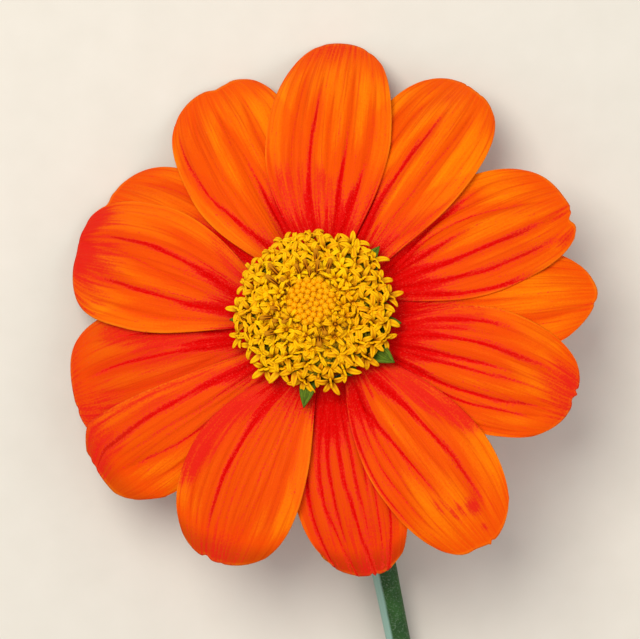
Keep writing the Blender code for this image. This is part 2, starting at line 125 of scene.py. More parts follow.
# shift: the root's azimuth from its even place. turn: the direction that the petal leaves in, from
# straight out. bend: how far its tip is carried sideways. widest: where, as a part of the length.
# slant: how much further the left corner of the tip reaches. uneven: how much wider the left side is.
# square: 2 for a round tip, more for a blunt one. droop: its fall DROOP_REACH out. left and right: 1
# where that side lies over its neighbour, -1 where it lies under. cross: where across the petal it
# passes from one layer to the other.
Petal = namedtuple(
    "Petal", "shift turn bend length half_width widest slant uneven square droop left right cross"
)
PETALS = (
    Petal(1.0, 9.0, -4.0, 35.8, 9.4, 0.50, 0.0, -0.10, 2.3, 11.5, 1, 1, 0.0),
    Petal(0.0, 5.0, -0.8, 33.3, 9.1, 0.62, 0.2, -0.03, 2.3, 11.9, -1, 1, 0.0),
    Petal(0.5, -6.0, 1.2, 30.4, 9.3, 0.52, -0.3, -0.03, 2.7, 11.7, -1, 1, 0.0),
    Petal(0.0, 2.0, 1.1, 30.8, 9.0, 0.54, 0.0, -0.05, 1.8, 11.5, -1, -1, 0.0),
    Petal(1.0, 7.0, -0.9, 29.2, 9.2, 0.54, 0.5, 0.04, 2.3, 11.5, 1, -1, 0.0),
    Petal(0.0, -6.4, 2.2, 31.8, 8.7, 0.59, 0.0, 0.09, 2.1, 11.5, 1, 1, 0.0),
    Petal(-1.0, 1.0, 0.0, 28.7, 8.2, 0.56, 0.5, 0.0, 2.2, 11.7, -1, -1, 0.0),
    Petal(-2.2, -17.0, 6.2, 29.2, 9.4, 0.62, -0.2, 0.07, 2.2, 11.9, 1, 1, 0.0),
    Petal(-2.5, 5.0, -6.1, 30.5, 8.4, 0.83, -1.3, -0.39, 1.5, 12.1, -1, 1, -0.3),
    Petal(-0.8, -4.0, -0.3, 30.4, 10.0, 0.63, 0.1, 0.0, 2.9, 12.4, -1, -1, 0.0),
    Petal(0.0, -18.5, 4.5, 31.6, 9.9, 0.62, -0.3, 0.10, 2.9, 12.4, 1, 1, 0.0),
    Petal(1.0, 7.0, 0.0, 31.3, 9.2, 0.59, -0.2, 0.0, 2.5, 12.6, -1, -1, 0.0),
    Petal(1.0, 4.7, -0.8, 33.0, 9.7, 0.52, -0.8, -0.06, 2.9, 10.4, 1, -1, 0.0),
)

# Dents in each petal's tip: where across it, how deep and how wide, across. A depth under 0 is a tooth.
TIP_DENTS = (
    ((0.45, 0.10, 0.08), (-0.68, 0.15, 0.06)),
    ((-0.25, 0.25, 0.25), (0.02, 0.12, 0.04), (-0.40, 0.10, 0.04)),
    ((-0.58, 0.85, 0.12), (-0.38, 0.20, 0.05)),
    ((-0.27, 0.20, 0.06), (0.30, 0.10, 0.20)),
    ((0.33, 0.30, 0.04), (0.12, 0.35, 0.10), (0.24, -0.15, 0.03)),
    ((-0.25, 0.50, 0.28), (0.16, 0.20, 0.04), (0.08, -0.20, 0.03)),
    ((0.14, 0.30, 0.045), (0.25, 0.20, 0.04), (0.19, -0.15, 0.03)),
    ((-0.27, 0.42, 0.09), (0.10, 0.10, 0.05)),
    ((-0.86, 0.15, 0.05), (-0.70, 0.12, 0.05)),
    ((-0.60, 0.25, 0.50), (0.37, 0.20, 0.08)),
    ((-0.60, 0.25, 0.20), (0.10, 0.20, 0.20)),
    ((0.10, 0.45, 0.17), (-0.25, 0.15, 0.10)),
    ((-0.22, 0.65, 0.16), (-0.45, 0.30, 0.12)),
)

# Painted shade along one side of a petal, where it and a neighbour overlap, drawn as a redder strip:
# which side, how far across its edge runs at the root, at v = 0.35 and at its end, where along the
# petal it ends, and how strong it is.
SIDE_SHADES = {
    0: ((1, -0.75, -0.3, 0.2, 0.5, 0.5),),
    1: ((-1, 0.0, 0.35, 0.6, 0.45, 0.4),),
    2: ((1, 0.35, 0.45, 0.9, 0.55, 0.45),),
    4: ((1, 0.0, 0.3, 0.9, 0.55, 0.7),),
    5: ((1, 0.3, 0.52, 0.9, 0.7, 1.0), (-1, 0.1, 0.55, 0.9, 0.5, 0.6)),
    6: ((1, -0.9, -0.9, -0.9, 0.45, 0.5),),
    7: ((-1, 0.1, 0.45, 0.75, 0.8, 1.1),),
    8: ((-1, 0.35, 0.66, 0.75, 0.95, 0.45),),
    9: ((-1, -0.05, 0.2, 0.5, 0.85, 0.9), (1, 0.4, 0.65, -0.1, 1.3, 0.5)),
    10: ((-1, 0.1, 0.75, 0.95, 0.4, 0.5),),
    11: ((-1, 0.1, 0.25, 0.5, 0.42, 0.6),),
}

# Each petal's markings. red_base: how far the red runs out from its root. flush: how red the whole
# petal is. tip: how much deeper its tip is, and past 1 it is dusky too. Each fold is a furrow with red
# in it: where it lies across the petal near the root, half way and near the tip, how far along it has
# faded out, and how strong it is. The folds that run beside the edge of a neighbour also paint the
# shadow that edge casts. Each patch is a redder place: v, u, its size both ways, and how strong it is.
# The patches across the sixth petal near its tip paint the shade in a dent there, together with the
# red where a fold ends.
Markings = namedtuple("Markings", "red_base flush tip folds patches")
MARKINGS = (
    Markings(0.25, 0.0, 1.0, (
        (0.32, 0.16, 0.11, 0.85, 0.95), (-0.32, -0.39, -0.42, 0.62, 0.85),
        (-0.33, -0.40, -0.43, 0.95, 0.28), (-0.52, -0.71, -0.74, 0.52, 0.95),
        (-0.53, -0.72, -0.75, 0.85, 0.28), (0.53, 0.50, 0.42, 0.95, 0.42),
        (0.36, 0.36, 0.30, 0.85, 0.3), (0.85, 0.93, 0.90, 0.60, 0.45),
        (-0.08, -0.12, -0.12, 0.80, 0.2), (-0.95, -0.98, -0.98, 0.50, 0.6),
    ), ((0.98, 0.0, 0.08, 0.7, 0.7),)),
    Markings(0.2, 0.0, 0.9, (
        (0.20, 0.09, -0.02, 0.88, 1.0), (0.45, 0.25, 0.10, 0.50, 0.9),
        (-0.20, -0.36, -0.43, 1.0, 0.45), (-0.30, -0.45, -0.50, 0.60, 0.25),
        (0.60, 0.52, 0.36, 0.95, 0.35), (0.85, 0.75, 0.60, 0.90, 0.3),
        (-0.60, -0.95, -0.98, 0.55, 0.5),
    ), ((0.90, 0.15, 0.05, 0.15, 0.4),)),
    Markings(0.2, 0.08, 0.95, (
        (0.30, 0.57, 0.75, 0.75, 0.9), (0.35, 0.50, 0.45, 0.75, 0.6),
        (0.15, 0.32, 0.05, 0.95, 0.6), (0.03, 0.11, 0.12, 0.60, 1.0),
        (-0.24, -0.28, -0.35, 0.98, 1.0), (-0.48, -0.63, -0.64, 0.98, 1.0),
        (-0.78, -0.93, -0.98, 0.80, 0.9),
    ), ((0.93, -0.33, 0.06, 0.16, 0.95), (0.93, -0.80, 0.06, 0.08, 0.9))),
    Markings(0.32, 0.1, 0.8, (
        (0.0, 0.05, 0.0, 0.40, 0.6), (-0.15, -0.35, -0.37, 1.0, 0.35),
        (0.05, 0.0, -0.10, 0.70, 0.25), (0.70, 0.60, 0.50, 1.0, 0.25),
    ), ((0.95, -0.30, 0.06, 0.2, 0.35),)),
    Markings(0.24, 0.15, 1.1, (
        (0.31, 0.41, 0.38, 0.95, 1.0), (-0.02, 0.11, 0.15, 0.75, 0.95),
        (-0.12, -0.05, 0.05, 0.85, 0.75), (-0.34, -0.41, -0.20, 0.98, 0.9),
        (-0.55, -0.57, -0.42, 0.95, 0.85), (0.72, 0.76, 0.70, 0.75, 0.8),
        (0.55, 0.58, 0.55, 0.60, 0.6), (-0.85, -0.88, -0.80, 1.0, 0.4),
    ), ((0.96, 0.35, 0.12, 0.4, 1.1), (0.98, -0.1, 0.1, 0.4, 0.9))),
    Markings(0.15, 0.12, 0.9, (
        (0.20, 0.41, 0.36, 0.95, 0.95), (-0.58, -0.22, -0.15, 0.80, 0.85),
        (-0.50, -0.50, -0.42, 0.70, 0.7), (-0.70, -0.68, -0.60, 0.90, 0.65),
        (-0.88, -0.92, -0.90, 0.90, 0.75),
        (0.60, 0.72, 0.80, 0.70, 0.5), (0.0, 0.15, 0.20, 0.80, 0.25),
    ), (
        (0.85, 0.22, 0.035, 0.14, 1.3), (0.83, 0.38, 0.05, 0.08, 0.9), (0.83, -0.04, 0.035, 0.16, 0.8),
        (0.77, -0.22, 0.045, 0.12, 0.6), (0.94, 0.19, 0.02, 0.06, 1.0),
    )),
    Markings(0.18, 0.42, 1.8, (
        (0.0, -0.08, 0.12, 1.25, 1.0), (-0.30, -0.50, -0.33, 1.25, 1.0),
        (-0.18, -0.30, -0.25, 0.95, 0.85), (0.20, 0.15, 0.20, 0.95, 0.85),
        (0.36, 0.32, 0.30, 0.80, 0.7), (0.50, 0.45, 0.42, 1.1, 0.75),
        (0.70, 0.68, 0.60, 1.25, 0.95), (-0.70, -0.75, -0.74, 1.25, 1.0),
    ), ((0.98, 0.10, 0.1, 0.35, 1.0), (0.9, 0.0, 0.25, 0.9, 0.55))),
    Markings(0.2, 0.17, 1.7, (
        (-0.25, -0.22, -0.28, 1.0, 0.95), (0.50, 0.46, 0.30, 1.0, 0.5),
        (0.38, 0.33, 0.20, 0.95, 0.45), (0.22, 0.18, 0.10, 0.90, 0.42),
        (0.08, 0.05, 0.0, 0.95, 0.4), (-0.08, -0.10, -0.12, 0.95, 0.45),
        (-0.40, -0.36, -0.40, 0.95, 0.3), (-0.60, -0.55, -0.50, 0.90, 0.25),
        (0.70, 0.68, 0.60, 0.90, 0.28), (-0.75, -0.72, -0.66, 0.95, 0.28),
    ), ((0.98, -0.10, 0.12, 0.6, 0.9),)),
    Markings(0.14, 0.12, 1.5, (
        (-0.52, -0.64, -0.63, 1.15, 1.0), (0.16, 0.02, -0.24, 1.0, 0.72),
        (-0.22, -0.34, -0.40, 0.95, 0.5), (-0.10, -0.20, -0.26, 0.80, 0.3),
        (0.45, 0.40, 0.20, 0.95, 0.28),
    ), ((0.97, -0.62, 0.13, 0.3, 1.1), (0.9, -0.9, 0.1, 0.25, 0.8))),
    Markings(0.18, 0.55, 1.1, (
        (0.0, -0.12, -0.16, 0.98, 1.0), (-0.15, -0.22, -0.25, 0.55, 0.9),
        (-0.42, -0.48, -0.72, 0.85, 0.85), (0.60, 0.45, 0.30, 0.40, 0.5),
        (0.10, 0.30, 0.15, 0.95, 0.3), (0.35, 0.55, 0.45, 0.95, 0.3),
    ), ((0.88, 0.45, 0.16, 0.5, 0.6), (0.98, -0.2, 0.06, 0.8, 0.5), (0.50, -0.25, 0.16, 0.5, 0.8))),
    Markings(0.14, 0.1, 0.9, (
        (0.50, 0.47, 0.38, 0.98, 1.0), (-0.04, -0.20, -0.29, 0.98, 1.0),
        (-0.20, -0.35, -0.40, 0.50, 0.5), (-0.50, -0.55, -0.55, 0.70, 0.25),
        (0.20, 0.10, 0.0, 0.70, 0.2), (0.05, 0.0, -0.05, 0.60, 0.35),
        (0.80, 0.75, 0.70, 0.80, 0.3), (0.30, 0.12, -0.12, 1.2, 0.45),
    ), ((1.0, 0.10, 0.13, 0.45, 2.4), (1.0, -0.55, 0.13, 0.4, 2.2), (0.93, 0.1, 0.18, 0.8, 1.1))),
    Markings(0.2, 0.3, 0.9, (
        (-0.20, -0.30, -0.30, 0.60, 1.0), (-0.50, -0.60, -0.55, 1.0, 0.5),
        (0.20, 0.10, 0.0, 0.95, 0.45), (0.40, 0.35, 0.25, 0.95, 0.4),
    ), ((0.95, 0.0, 0.06, 0.3, 0.3),)),
    Markings(-0.08, 0.0, 1.0, (
        (0.43, 0.70, 0.80, 0.95, 0.8), (-0.12, -0.10, -0.02, 0.62, 0.8),
        (-0.10, -0.09, 0.0, 0.95, 0.28),
        (0.22, 0.34, 0.38, 0.98, 0.35), (0.0, 0.0, 0.0, 0.90, 0.25),
        (0.45, 0.50, 0.45, 1.0, 0.3), (-0.25, -0.20, -0.15, 0.50, 0.8),
        (-0.40, -0.40, -0.45, 0.95, 0.25),
    ), ()),
)

# Disc of florets: a crown of closed buds and rings of open florets, each a little off the head's
# axis, on a dome that is slightly narrower from front to back. A floret's room is how much the square
# of the radius grows from it to the next. Florets stand upright out to UPRIGHT_RADIUS and are opening
# out to OPENING_RADIUS. Past OUTER_RADIUS they have pointed star lobes, but only within STAR_SPREAD of
# the azimuth STAR_SIDE. A bed is its inner and outer radius, how far it lies under the dome, and its
# shift, and it starts BED_FOOT over the receptacle.
DOME_HEIGHT = 10.2
DOME_FALL = 5.0
DOME_RADIUS = 11.2
GOLDEN_ANGLE = 137.508
BUD_COUNT = 50
BUD_SPREAD = 0.485
BUD_RADIUS = 0.5
BUDS_PLACE = (-0.1, 0.4)
FLORETS_PLACE = (-0.5, 0.45)
DISC_SQUEEZE = 0.98
FLORET_COUNT = 122
FIRST_FLORET_ROOM = 0.66
LAST_FLORET_ROOM = 1.37
FIRST_FLORET_RADIUS = 3.3
UPRIGHT_RADIUS = 4.5
OPENING_RADIUS = 6.6
OUTER_RADIUS = 9.3
STAR_SIDE = -55
STAR_SPREAD = 128
FLORET_BED = (3.0, DOME_RADIUS * 0.89, 1.5, (-0.3, 0.25))
BUD_BED = (0.3, 3.5, 1.0, BUDS_PLACE)
BED_FOOT = 0.4
BED_SHADE_WIDTH = 5.2
BED_ROWS = 7
LOBE_COUNT = 5
LOBE_LENGTH = 2.1
THROAT_RADIUS = 0.5
THROAT_RIM = 0.12
THROAT_DEPTH = 0.7
TUBE_LENGTH = 2.6
TUBE_FOOT_RADIUS = 0.3
ANTHER_TIP = 0.28
ARM_RADIUS = 0.17
ARM_STEP = 0.3
FLORET_SINK = 1.45
BUD_SINK = 0.85

# How florets lean out: the inner ones, the rise from TILT_START_RADIUS to the edge, the random part,
# and how much more those lean that hold their anthers out.
INNER_TILT = 6
EDGE_TILT = 42
TILT_START_RADIUS = 4.6
TILT_WIDTH = 6.8
TILT_SPREAD = 11
ANTHERS_TILT = 30

# Where opening florets hold their tubes of anthers out: azimuths, and how near to one of them.
ANTHER_AZIMUTHS = (102, 84, 60, 140, 200, 222, 290)
ANTHER_SPREAD = 9

# Green tips round the disc: azimuth, how far from the head's axis the tip reaches, and width. The
# first five stand further out than the rest, and SCALE_SIZE is the length and width of such a one.
LONG_SCALES = ((48, 13.3, 2.3), (-34, 13.8, 3.1), (-97, 14.3, 2.6), (183, 13.2, 2.0), (-8, 12.4, 1.7))
SHORT_SCALES = 17
SHORT_SCALE_REACH = 10.9
SHORT_SCALE_WIDTH = 2.4
SCALE_THICKNESS = 0.3
SCALE_HEIGHT = 2.35
SCALE_SLOPE = 0.25
SCALE_SIZE = (4.0, 2.8)

# Bracts: name, how many, first azimuth, root radius, root height, reach, fall, half width. BRACT_SIZE
# is the length and width of one.
BRACT_RINGS = (
    ("inner_bract", 8, 80.0, 8.95, -1.95, 7.6, 0.2, 2.7),
    ("outer_bract", 5, 62.0, 7.5, -3.9, 8.6, 1.9, 2.5),
)
BRACT_THICKNESS = 0.6
BRACT_SIZE = (8.1, 5.4)

# Soft lights: name, place in metres, width in metres, power and colour. The camera looks straight down.
LIGHTS = (
    ("window", (-0.20, 0.22, 0.60), 0.42, 3.1, "FFF6EA"),
    ("fill", (0.42, -0.10, 0.45), 0.50, 0.7, "F8F8F4"),
)
LIGHTS_AIM_HEIGHT = 12.0
ROOM_COLOUR = "F8F7F4"
ROOM_STRENGTH = 0.52
CAMERA_PLACE = Vector((-1.54, 17.62, 518.9))
CAMERA_LENS = 191.25
CAMERA_SENSOR = 36
TABLE_WIDTH = 4

# Every run draws the same numbers.
SEED = 11


# Working by hand: selection, finishing and joining


def deselect():
    bpy.ops.object.select_all(action="DESELECT")


def hold(*objs):
    """Selects these objects alone. The first one is active."""
    deselect()
    for obj in objs:
        obj.select_set(True)
    bpy.context.view_layer.objects.active = objs[0]


def press(obj, kind, **settings):
    """Adds a modifier with its settings and applies it."""
    hold(obj)
    modifier = obj.modifiers.new(kind.lower(), kind)
    for name, value in settings.items():
        setattr(modifier, name, value)
    bpy.ops.object.modifier_apply(modifier=modifier.name)


def joined(objs, name):
    hold(*objs)
    bpy.ops.object.join()
    made = bpy.context.object
    made.name = name
    made.data.name = name
    return made


def copy_at(obj, place):
    """A copy of the piece with its own mesh, moved there."""
    made = obj.copy()
    made.data = obj.data.copy()
    made.data.transform(place)
    bpy.context.scene.collection.objects.link(made)
    return made


def smooth(obj):
    hold(obj)
    bpy.ops.object.shade_smooth()


def read_points(mesh):
    points = np.empty(len(mesh.vertices) * 3)
    mesh.vertices.foreach_get("co", points)
    return points.reshape(-1, 3)


def write_points(mesh, points):
    mesh.vertices.foreach_set("co", np.ascontiguousarray(points, dtype=np.float32).ravel())
    mesh.update()


def mark(mesh, name, values):
    """Keeps one number at each point, for the materials to read."""
    layer = mesh.attributes.get(name) or mesh.attributes.new(name, "FLOAT", "POINT")
    layer.data.foreach_set("value", np.ascontiguousarray(values, dtype=np.float32).ravel())


def sheet_grid(name, along, across):
    """A flat grid to be laid as a petal, bract or lobe, with (v, u) of each of its points."""
    deselect()
    bpy.ops.mesh.primitive_grid_add(x_subdivisions=along, y_subdivisions=across, size=2)
    obj = bpy.context.object
    obj.name = name
    obj.data.name = name
    points = read_points(obj.data)
    return obj, (points[:, 0] + 1) / 2, points[:, 1]


def ease(value, low, high):
    """0 below low and 1 above high, with a smooth step between."""
    t = np.clip((value - low) / (high - low), 0, 1)
    return t * t * (3 - 2 * t)


# The flower head's lean


def head_matrix():
    """Leans the head's own frame and puts it in its place over the table."""
    azimuth = math.radians(HEAD_TILT_AZIMUTH)
    axis = Vector((-math.sin(azimuth), math.cos(azimuth), 0))
    centre = Vector((HEAD_X, HEAD_Y, HEAD_HEIGHT))
    return Matrix.Translation(centre) @ Matrix.Rotation(math.radians(HEAD_TILT), 4, axis)


HEAD = head_matrix()
HEAD_UP = (HEAD.to_3x3() @ Vector((0, 0, 1))).normalized()


def lean(points):
    """Points of the head's own frame, in millimetres, as places on the table in millimetres."""
    turn = np.array(HEAD.to_3x3())
    return points @ turn.T + np.array(HEAD.translation)


# Materials


def colour(code):
    """An sRGB hex colour as the linear colour that a shader takes."""
    srgb = [int(code[i : i + 2], 16) / 255 for i in (0, 2, 4)]
    return (*[c / 12.92 if c <= 0.04045 else ((c + 0.055) / 1.055) ** 2.4 for c in srgb], 1)


def add_node(tree, kind, settings=None, inputs=None, out=0):
    """Adds a node and gives one of its outputs. An input is a value to set, an output to link, or the
    name of a number that mark has kept at each point."""
    node = tree.nodes.new(f"ShaderNode{kind}")
    for name, value in (settings or {}).items():
        setattr(node, name, value)
    for name, value in (inputs or {}).items():
        if isinstance(value, str):
            value = add_node(tree, "Attribute", {"attribute_name": value}, out="Fac")
        if isinstance(value, bpy.types.NodeSocket):
            tree.links.new(value, node.inputs[name])
        else:
            node.inputs[name].default_value = value
    return node.outputs[out]


def new_material(name):
    made = bpy.data.materials.new(name)
    made.use_nodes = True
    return made, made.node_tree


def speckle(tree, grain_mm, detail=2.0, roughness=0.5):
    """Grains of this size on the piece itself."""
    place = add_node(tree, "TexCoord", out="Object")
    grain = {"Vector": place, "Scale": 1 / (grain_mm * MM), "Detail": detail, "Roughness": roughness}
    return add_node(tree, "TexNoise", {"noise_dimensions": "3D"}, grain)


def streaks(tree, sheet_mm, streak_mm, detail):
    """Streaks drawn out along a petal or leaf. Both sizes are a length and a width."""
    place = add_node(tree, "UVMap", {"uv_map": "UVMap"})
    scale = (sheet_mm[0] / streak_mm[0], sheet_mm[1] / streak_mm[1], 1)
    drawn = add_node(tree, "Mapping", {"vector_type": "POINT"}, {"Vector": place, "Scale": scale})
    grain = {"Vector": drawn, "Scale": 1, "Detail": detail}
    return add_node(tree, "TexNoise", {"noise_dimensions": "2D"}, grain)


def in_coats(tree, skin, *coats):
    """A skin that is built up in coats. A coat is its colour, how strong it is, and its masks. A mask
    is a pattern, and where two numbers follow, it starts at the first and is full at the second."""
    for tint, strength, *masks in coats:
        for pattern, *ends in masks:
            if ends:
                span = {0: pattern, 1: ends[0], 2: ends[1]}
                pattern = add_node(tree, "MapRange", {"interpolation_type": "SMOOTHSTEP"}, span)
            strength = add_node(tree, "Math", {"operation": "MULTIPLY"}, {0: pattern, 1: strength})
        under, over = (colour(part) if isinstance(part, str) else part for part in (skin, tint))
        skin = add_node(tree, "Mix", {"data_type": "RGBA"}, {0: strength, 6: under, 7: over}, 2)
    return skin


def finish_off(made, skin, roughness, specular, relief=None, depth_mm=0, strength=0):
    """Gives the material its colour and sheen, and the relief of its surface."""
    tree = made.node_tree
    shader = tree.nodes["Principled BSDF"]
    tree.links.new(skin, shader.inputs["Base Color"])
    shader.inputs["Roughness"].default_value = roughness
    shader.inputs["Specular IOR Level"].default_value = specular
    if relief is not None:
        raised = {"Height": relief, "Distance": depth_mm * MM, "Strength": strength}
        tree.links.new(add_node(tree, "Bump", None, raised), shader.inputs["Normal"])
    return made


def petal_tissue():
    """Living ray petal: a thin satin sheet of orange cells, with fine veins along it. The red sap at
    its base breaks up into grains before the orange takes over, and runs on along the folds. Real cells
    are far finer than these grains, and are drawn this coarse to show."""
    made, tree = new_material("fresh ray petal tissue")
    fine_veins = streaks(tree, PETAL_SIZE, (5.333, 0.24), 3)
    veins = streaks(tree, PETAL_SIZE, (8.0, 0.5294), 3)
    broad = streaks(tree, PETAL_SIZE, (16.0, 2.25), 2)
    threads = streaks(tree, PETAL_SIZE, (20.0, 0.3913), 2)
    grains = speckle(tree, 0.28, 3.0, 0.75)
    # Each of these adds patterns up, times their weights. Red ends raggedly where grains and veins do.
    added = []
    for total, *patterns in (
        (0, ("relief_shading", 0.95), (fine_veins, 0.3), (veins, 0.4), (broad, 0.5), (grains, 0.6)),
        (-0.8, ("tip", 1), (veins, 1.6)),
        (-2.5, ("patch", 1), (grains, 2.6), (veins, 2.4)),
        (-2.5, ("side_shade", 1), (grains, 2.6), (veins, 2.4)),
        (-2.5, ("base", 1), (grains, 2.6), (veins, 2.4)),
        (-1.35, ("sap", 1), (grains, 1.7), (veins, 1.0)),
        (0, (veins, 0.8), (fine_veins, 0.5), (grains, 0.7)),
    ):
        for pattern, weight in patterns:
            total = add_node(tree, "Math", {"operation": "MULTIPLY_ADD"}, {0: pattern, 1: weight, 2: total})
        added.append(total)
    tone_and_shade, tip, patch, side_shade, base, sap, texture = added
    # The red of the base and of the folds is bright at its fringe and deep inside.
    soaked = add_node(tree, "MapRange", {"interpolation_type": "SMOOTHSTEP"}, {0: base, 1: 0.5, 2: 1.5})
    drawn = add_node(tree, "MapRange", {"interpolation_type": "SMOOTHSTEP"}, {0: sap, 1: 0.15, 2: 0.75})
    red = add_node(tree, "Math", {"operation": "MAXIMUM"}, {0: soaked, 1: drawn})
    deep = in_coats(tree, "DA0402", ("C61C02", 1, ("out", 0.45, 0.9)), ("F84A3C", 0.55, (grains, 0.54, 0.7)))
    dusky = in_coats(tree, "EA4202", ("B42C04", 1, ("tip", 0.9, 1.8)))
    # Orange is painted lighter on the ridges and darker in the creases, as painted light and shade, and
    # is darker in some long threads. It is deeper at the tip, and painted deeper over a neighbour as
    # painted shade, with a thin light rim. Red patches and the painted shade of the side strips follow,
    # then the red.
    skin = in_coats(
        tree,
        "EA5002",
        ("FF8802", 1, (tone_and_shade, 0.8, 1.7)),
        ("C83802", 0.8, ("crease_shade",), (grains, 0.36, 0.56)),
        ("D23E02", 0.4, (threads, 0.56, 0.68)),
        ("D82A06", 1, ("flush",)),
        (dusky, 0.75, (tip, 0.0, 1.0)),
        ("E84406", 0.35, ("overlap",)),
        ("FF9018", 0.6, ("rim",)),
        ("DC1216", 0.85, (patch, 0.0, 1.3), ("patch", 0.05, 0.4)),
        ("DE1C14", 0.95, (side_shade, -0.2, 1.15), ("side_shade", 0.05, 0.5)),
        ("E8321C", 1, (red, 0.0, 0.6)),
        (deep, 1, (red, 0.45, 1.0)),
    )
    return finish_off(made, skin, 0.5, 0.03, texture, 0.15, 0.7)


def lobe_tissue():
    """Floret lobes: thick straps, golden at their tips, darkening to amber in the channel and towards the
    brown throat as painted shade, with painted highlights on their light raised edges. The florets at the
    far side, towards the window, are painted the brightest, as painted light."""
    made, tree = new_material("fresh floret lobe tissue")
    spots = speckle(tree, 0.45)
    yellow = in_coats(tree, "FFD802", ("F29A02", 1, ("tone_and_shade",)))
    throat = in_coats(tree, "D89204", ("9A5002", 1, ("tone_and_shade", 0.0, 0.6)))
    deepened = add_node(tree, "Math", {"operation": "MULTIPLY_ADD"}, {0: "tone_and_shade", 1: 0.6, 2: 0.25})
    # Painted shade darkens a lobe towards the throat and in its channel, more on the disc's shaded side, and
    # a painted highlight lightens its edges.
    skin = in_coats(
        tree,
        throat,
        (yellow, 1, ("along", 0.05, 0.55)),
        ("CE7C04", 1, ("edge", 0.6, 0.1), (deepened,)),
        ("FFC41E", 0.3, ("edge", 0.75, 1.0)),
        ("FFD60A", 0.3, (spots, 0.5, 0.8)),
        ("5A3404", 1, ("along", 0.0, -0.8)),
    )
    return finish_off(made, skin, 0.5, 0.05, spots, 0.1, 0.5)


def bud_tissue():
    """Closed florets: taut waxy orange-yellow skin, with painted shade darkening it towards its foot and in
    the seams between the folded lobes.
    """
    made, tree = new_material("closed floret skin")
    spots = speckle(tree, 0.35)
    skin = in_coats(tree, "C88204", ("FCAE04", 1, ("along", 0.3, 0.85)), ("FFBE08", 0.4, (spots,)))
    return finish_off(made, skin, 0.45, 0.06, spots, 0.08, 0.5)


def anther_tissue():
    """Anther tubes: five rust-brown walls side by side, with dark seams and dusty pollen. Its grains
    are drawn coarser than real ones, which would be too fine to show."""
    made, tree = new_material("dry anther wall")
    dust = speckle(tree, 0.2, 3.0, 0.7)
    skin = in_coats(
        tree,
        "3E1A02",
        ("DC8A0C", 1, ("edge", 0.1, 0.7)),
        ("C8820C", 1, ("along", 0.7, 1.0)),
        ("E8A810", 0.4, (dust, 0.55, 0.72)),
    )
    return finish_off(made, skin, 0.75, 0.1, dust, 0.1, 0.7)


def floor_of_disc():
    """Between the florets: chaff, dark amber near the buds and dark olive green towards the edge, its
    darkness being painted shade deep among the florets.
    """
    made, tree = new_material("disc chaff under painted shade")
    flecks = speckle(tree, 0.4, 3.0, 0.6)
    inner = in_coats(tree, "8A5C04", ("FFC00A", 1, (flecks, 0.42, 0.58)))
    outer = in_coats(tree, "3A3C06", ("8A8010", 1, (flecks, 0.42, 0.6)))
    skin = in_coats(tree, inner, (outer, 1, ("along", 0.4, 1.0)))
    return finish_off(made, skin, 0.8, 0.1, flecks, 0.3, 0.8)


def leaf_tissue(name, dark, light, vein, sheet_mm, streak_mm):
    """Bract and scale skin: matt green with nerves running along it."""
    made, tree = new_material(name)
    nerves = streaks(tree, sheet_mm, streak_mm, 3)
    spots = speckle(tree, 0.6, 3.0)
    skin = in_coats(
        tree,
        dark,
        (light, 1, (nerves, 0.35, 0.7)),
        (vein, 0.6, ("nerve", 0.3, 1.0)),
        (light, 0.25, (spots, 0.45, 0.75)),
    )
    uneven = add_node(tree, "Math", {"operation": "ADD"}, {0: nerves, 1: spots})
    return finish_off(made, skin, 0.58, 0.15, uneven, 0.12, 0.7)


def stem_skin():
    """Stem skin: green, with a pale bluish bloom painted along the side that faces the window as painted
    light, and very short down, which is drawn coarser than it is. The grooves between its faint ribs
    are painted darker, as painted shade."""
    made, tree = new_material("downy green stem skin")
    mottle = speckle(tree, 3.5, 3.0)
    down = speckle(tree, 0.28, 3.0, 0.7)
    # The pale strip of bloom is painted on the side that faces the window, as painted light.
    lit_strip = add_node(tree, "Math", {"operation": "MULTIPLY_ADD"}, {0: mottle, 1: 0.04, 2: "lit_bloom"})
    skin = in_coats(
        tree,
        "1C461A",
        ("2E6026", 1, (mottle, 0.35, 0.7)),
        ("9CC6BC", 1, (lit_strip, 0.83, 0.93)),
        ("2C5220", 0.3, ("rib",)),
        ("A9C4AE", 0.25, (down, 0.5, 0.72)),
    )
    return finish_off(made, skin, 0.5, 0.25, down, 0.12, 0.7)


def cut_pith():
    """Cut end of the stem: moist pale pith, spongy, with its pores drawn as coarse as they need to
    show."""
    made, tree = new_material("fresh cut pith")
    pores = speckle(tree, 0.18, 3.0, 0.7)
    skin = in_coats(tree, "B7C48A", ("E4E8C8", 1, (pores, 0.35, 0.7)))
    return finish_off(made, skin, 0.4, 0.5, pores, 0.1, 0.8)


def pale_paper():
    """Matt paper under the flower: even, with a faint cloudiness."""
    made, tree = new_material("matt pale paper")
    return finish_off(made, in_coats(tree, "DCD9D1", ("E4E1DA", 1, (speckle(tree, 6.0, 3.0),))), 0.8, 0.5)


# Ray petals


def petal_azimuth(index):
    return FIRST_PETAL_AZIMUTH - 360 / PETAL_COUNT * index + PETALS[index].shift


def droop_at(azimuth):
    """The droop runs smoothly from petal to petal, so that neighbours stay in their layers."""
    places = np.array([petal_azimuth(index) % 360 for index in range(PETAL_COUNT)])
    droops = np.array([petal.droop for petal in PETALS])
    order = np.argsort(places)
    return np.interp(azimuth % 360, places[order], droops[order], period=360) / DROOP_REACH**2


def petal_half_width(petal, out):
    """From the claw the sides swing out to the widest place, and close in a rounded tip."""
    widest = petal.widest * petal.length
    swing = np.sin(math.pi / 2 * np.clip(out / widest, 0, 1) ** 0.95)
    swung = CLAW_HALF_WIDTH + (petal.half_width - CLAW_HALF_WIDTH) * swing
    t = np.clip((out - widest) / (petal.length - widest), 0, 1)
    rounded = petal.half_width * (1 - t**petal.square) ** (1 / petal.square)
    return np.where(out <= widest, swung, rounded)


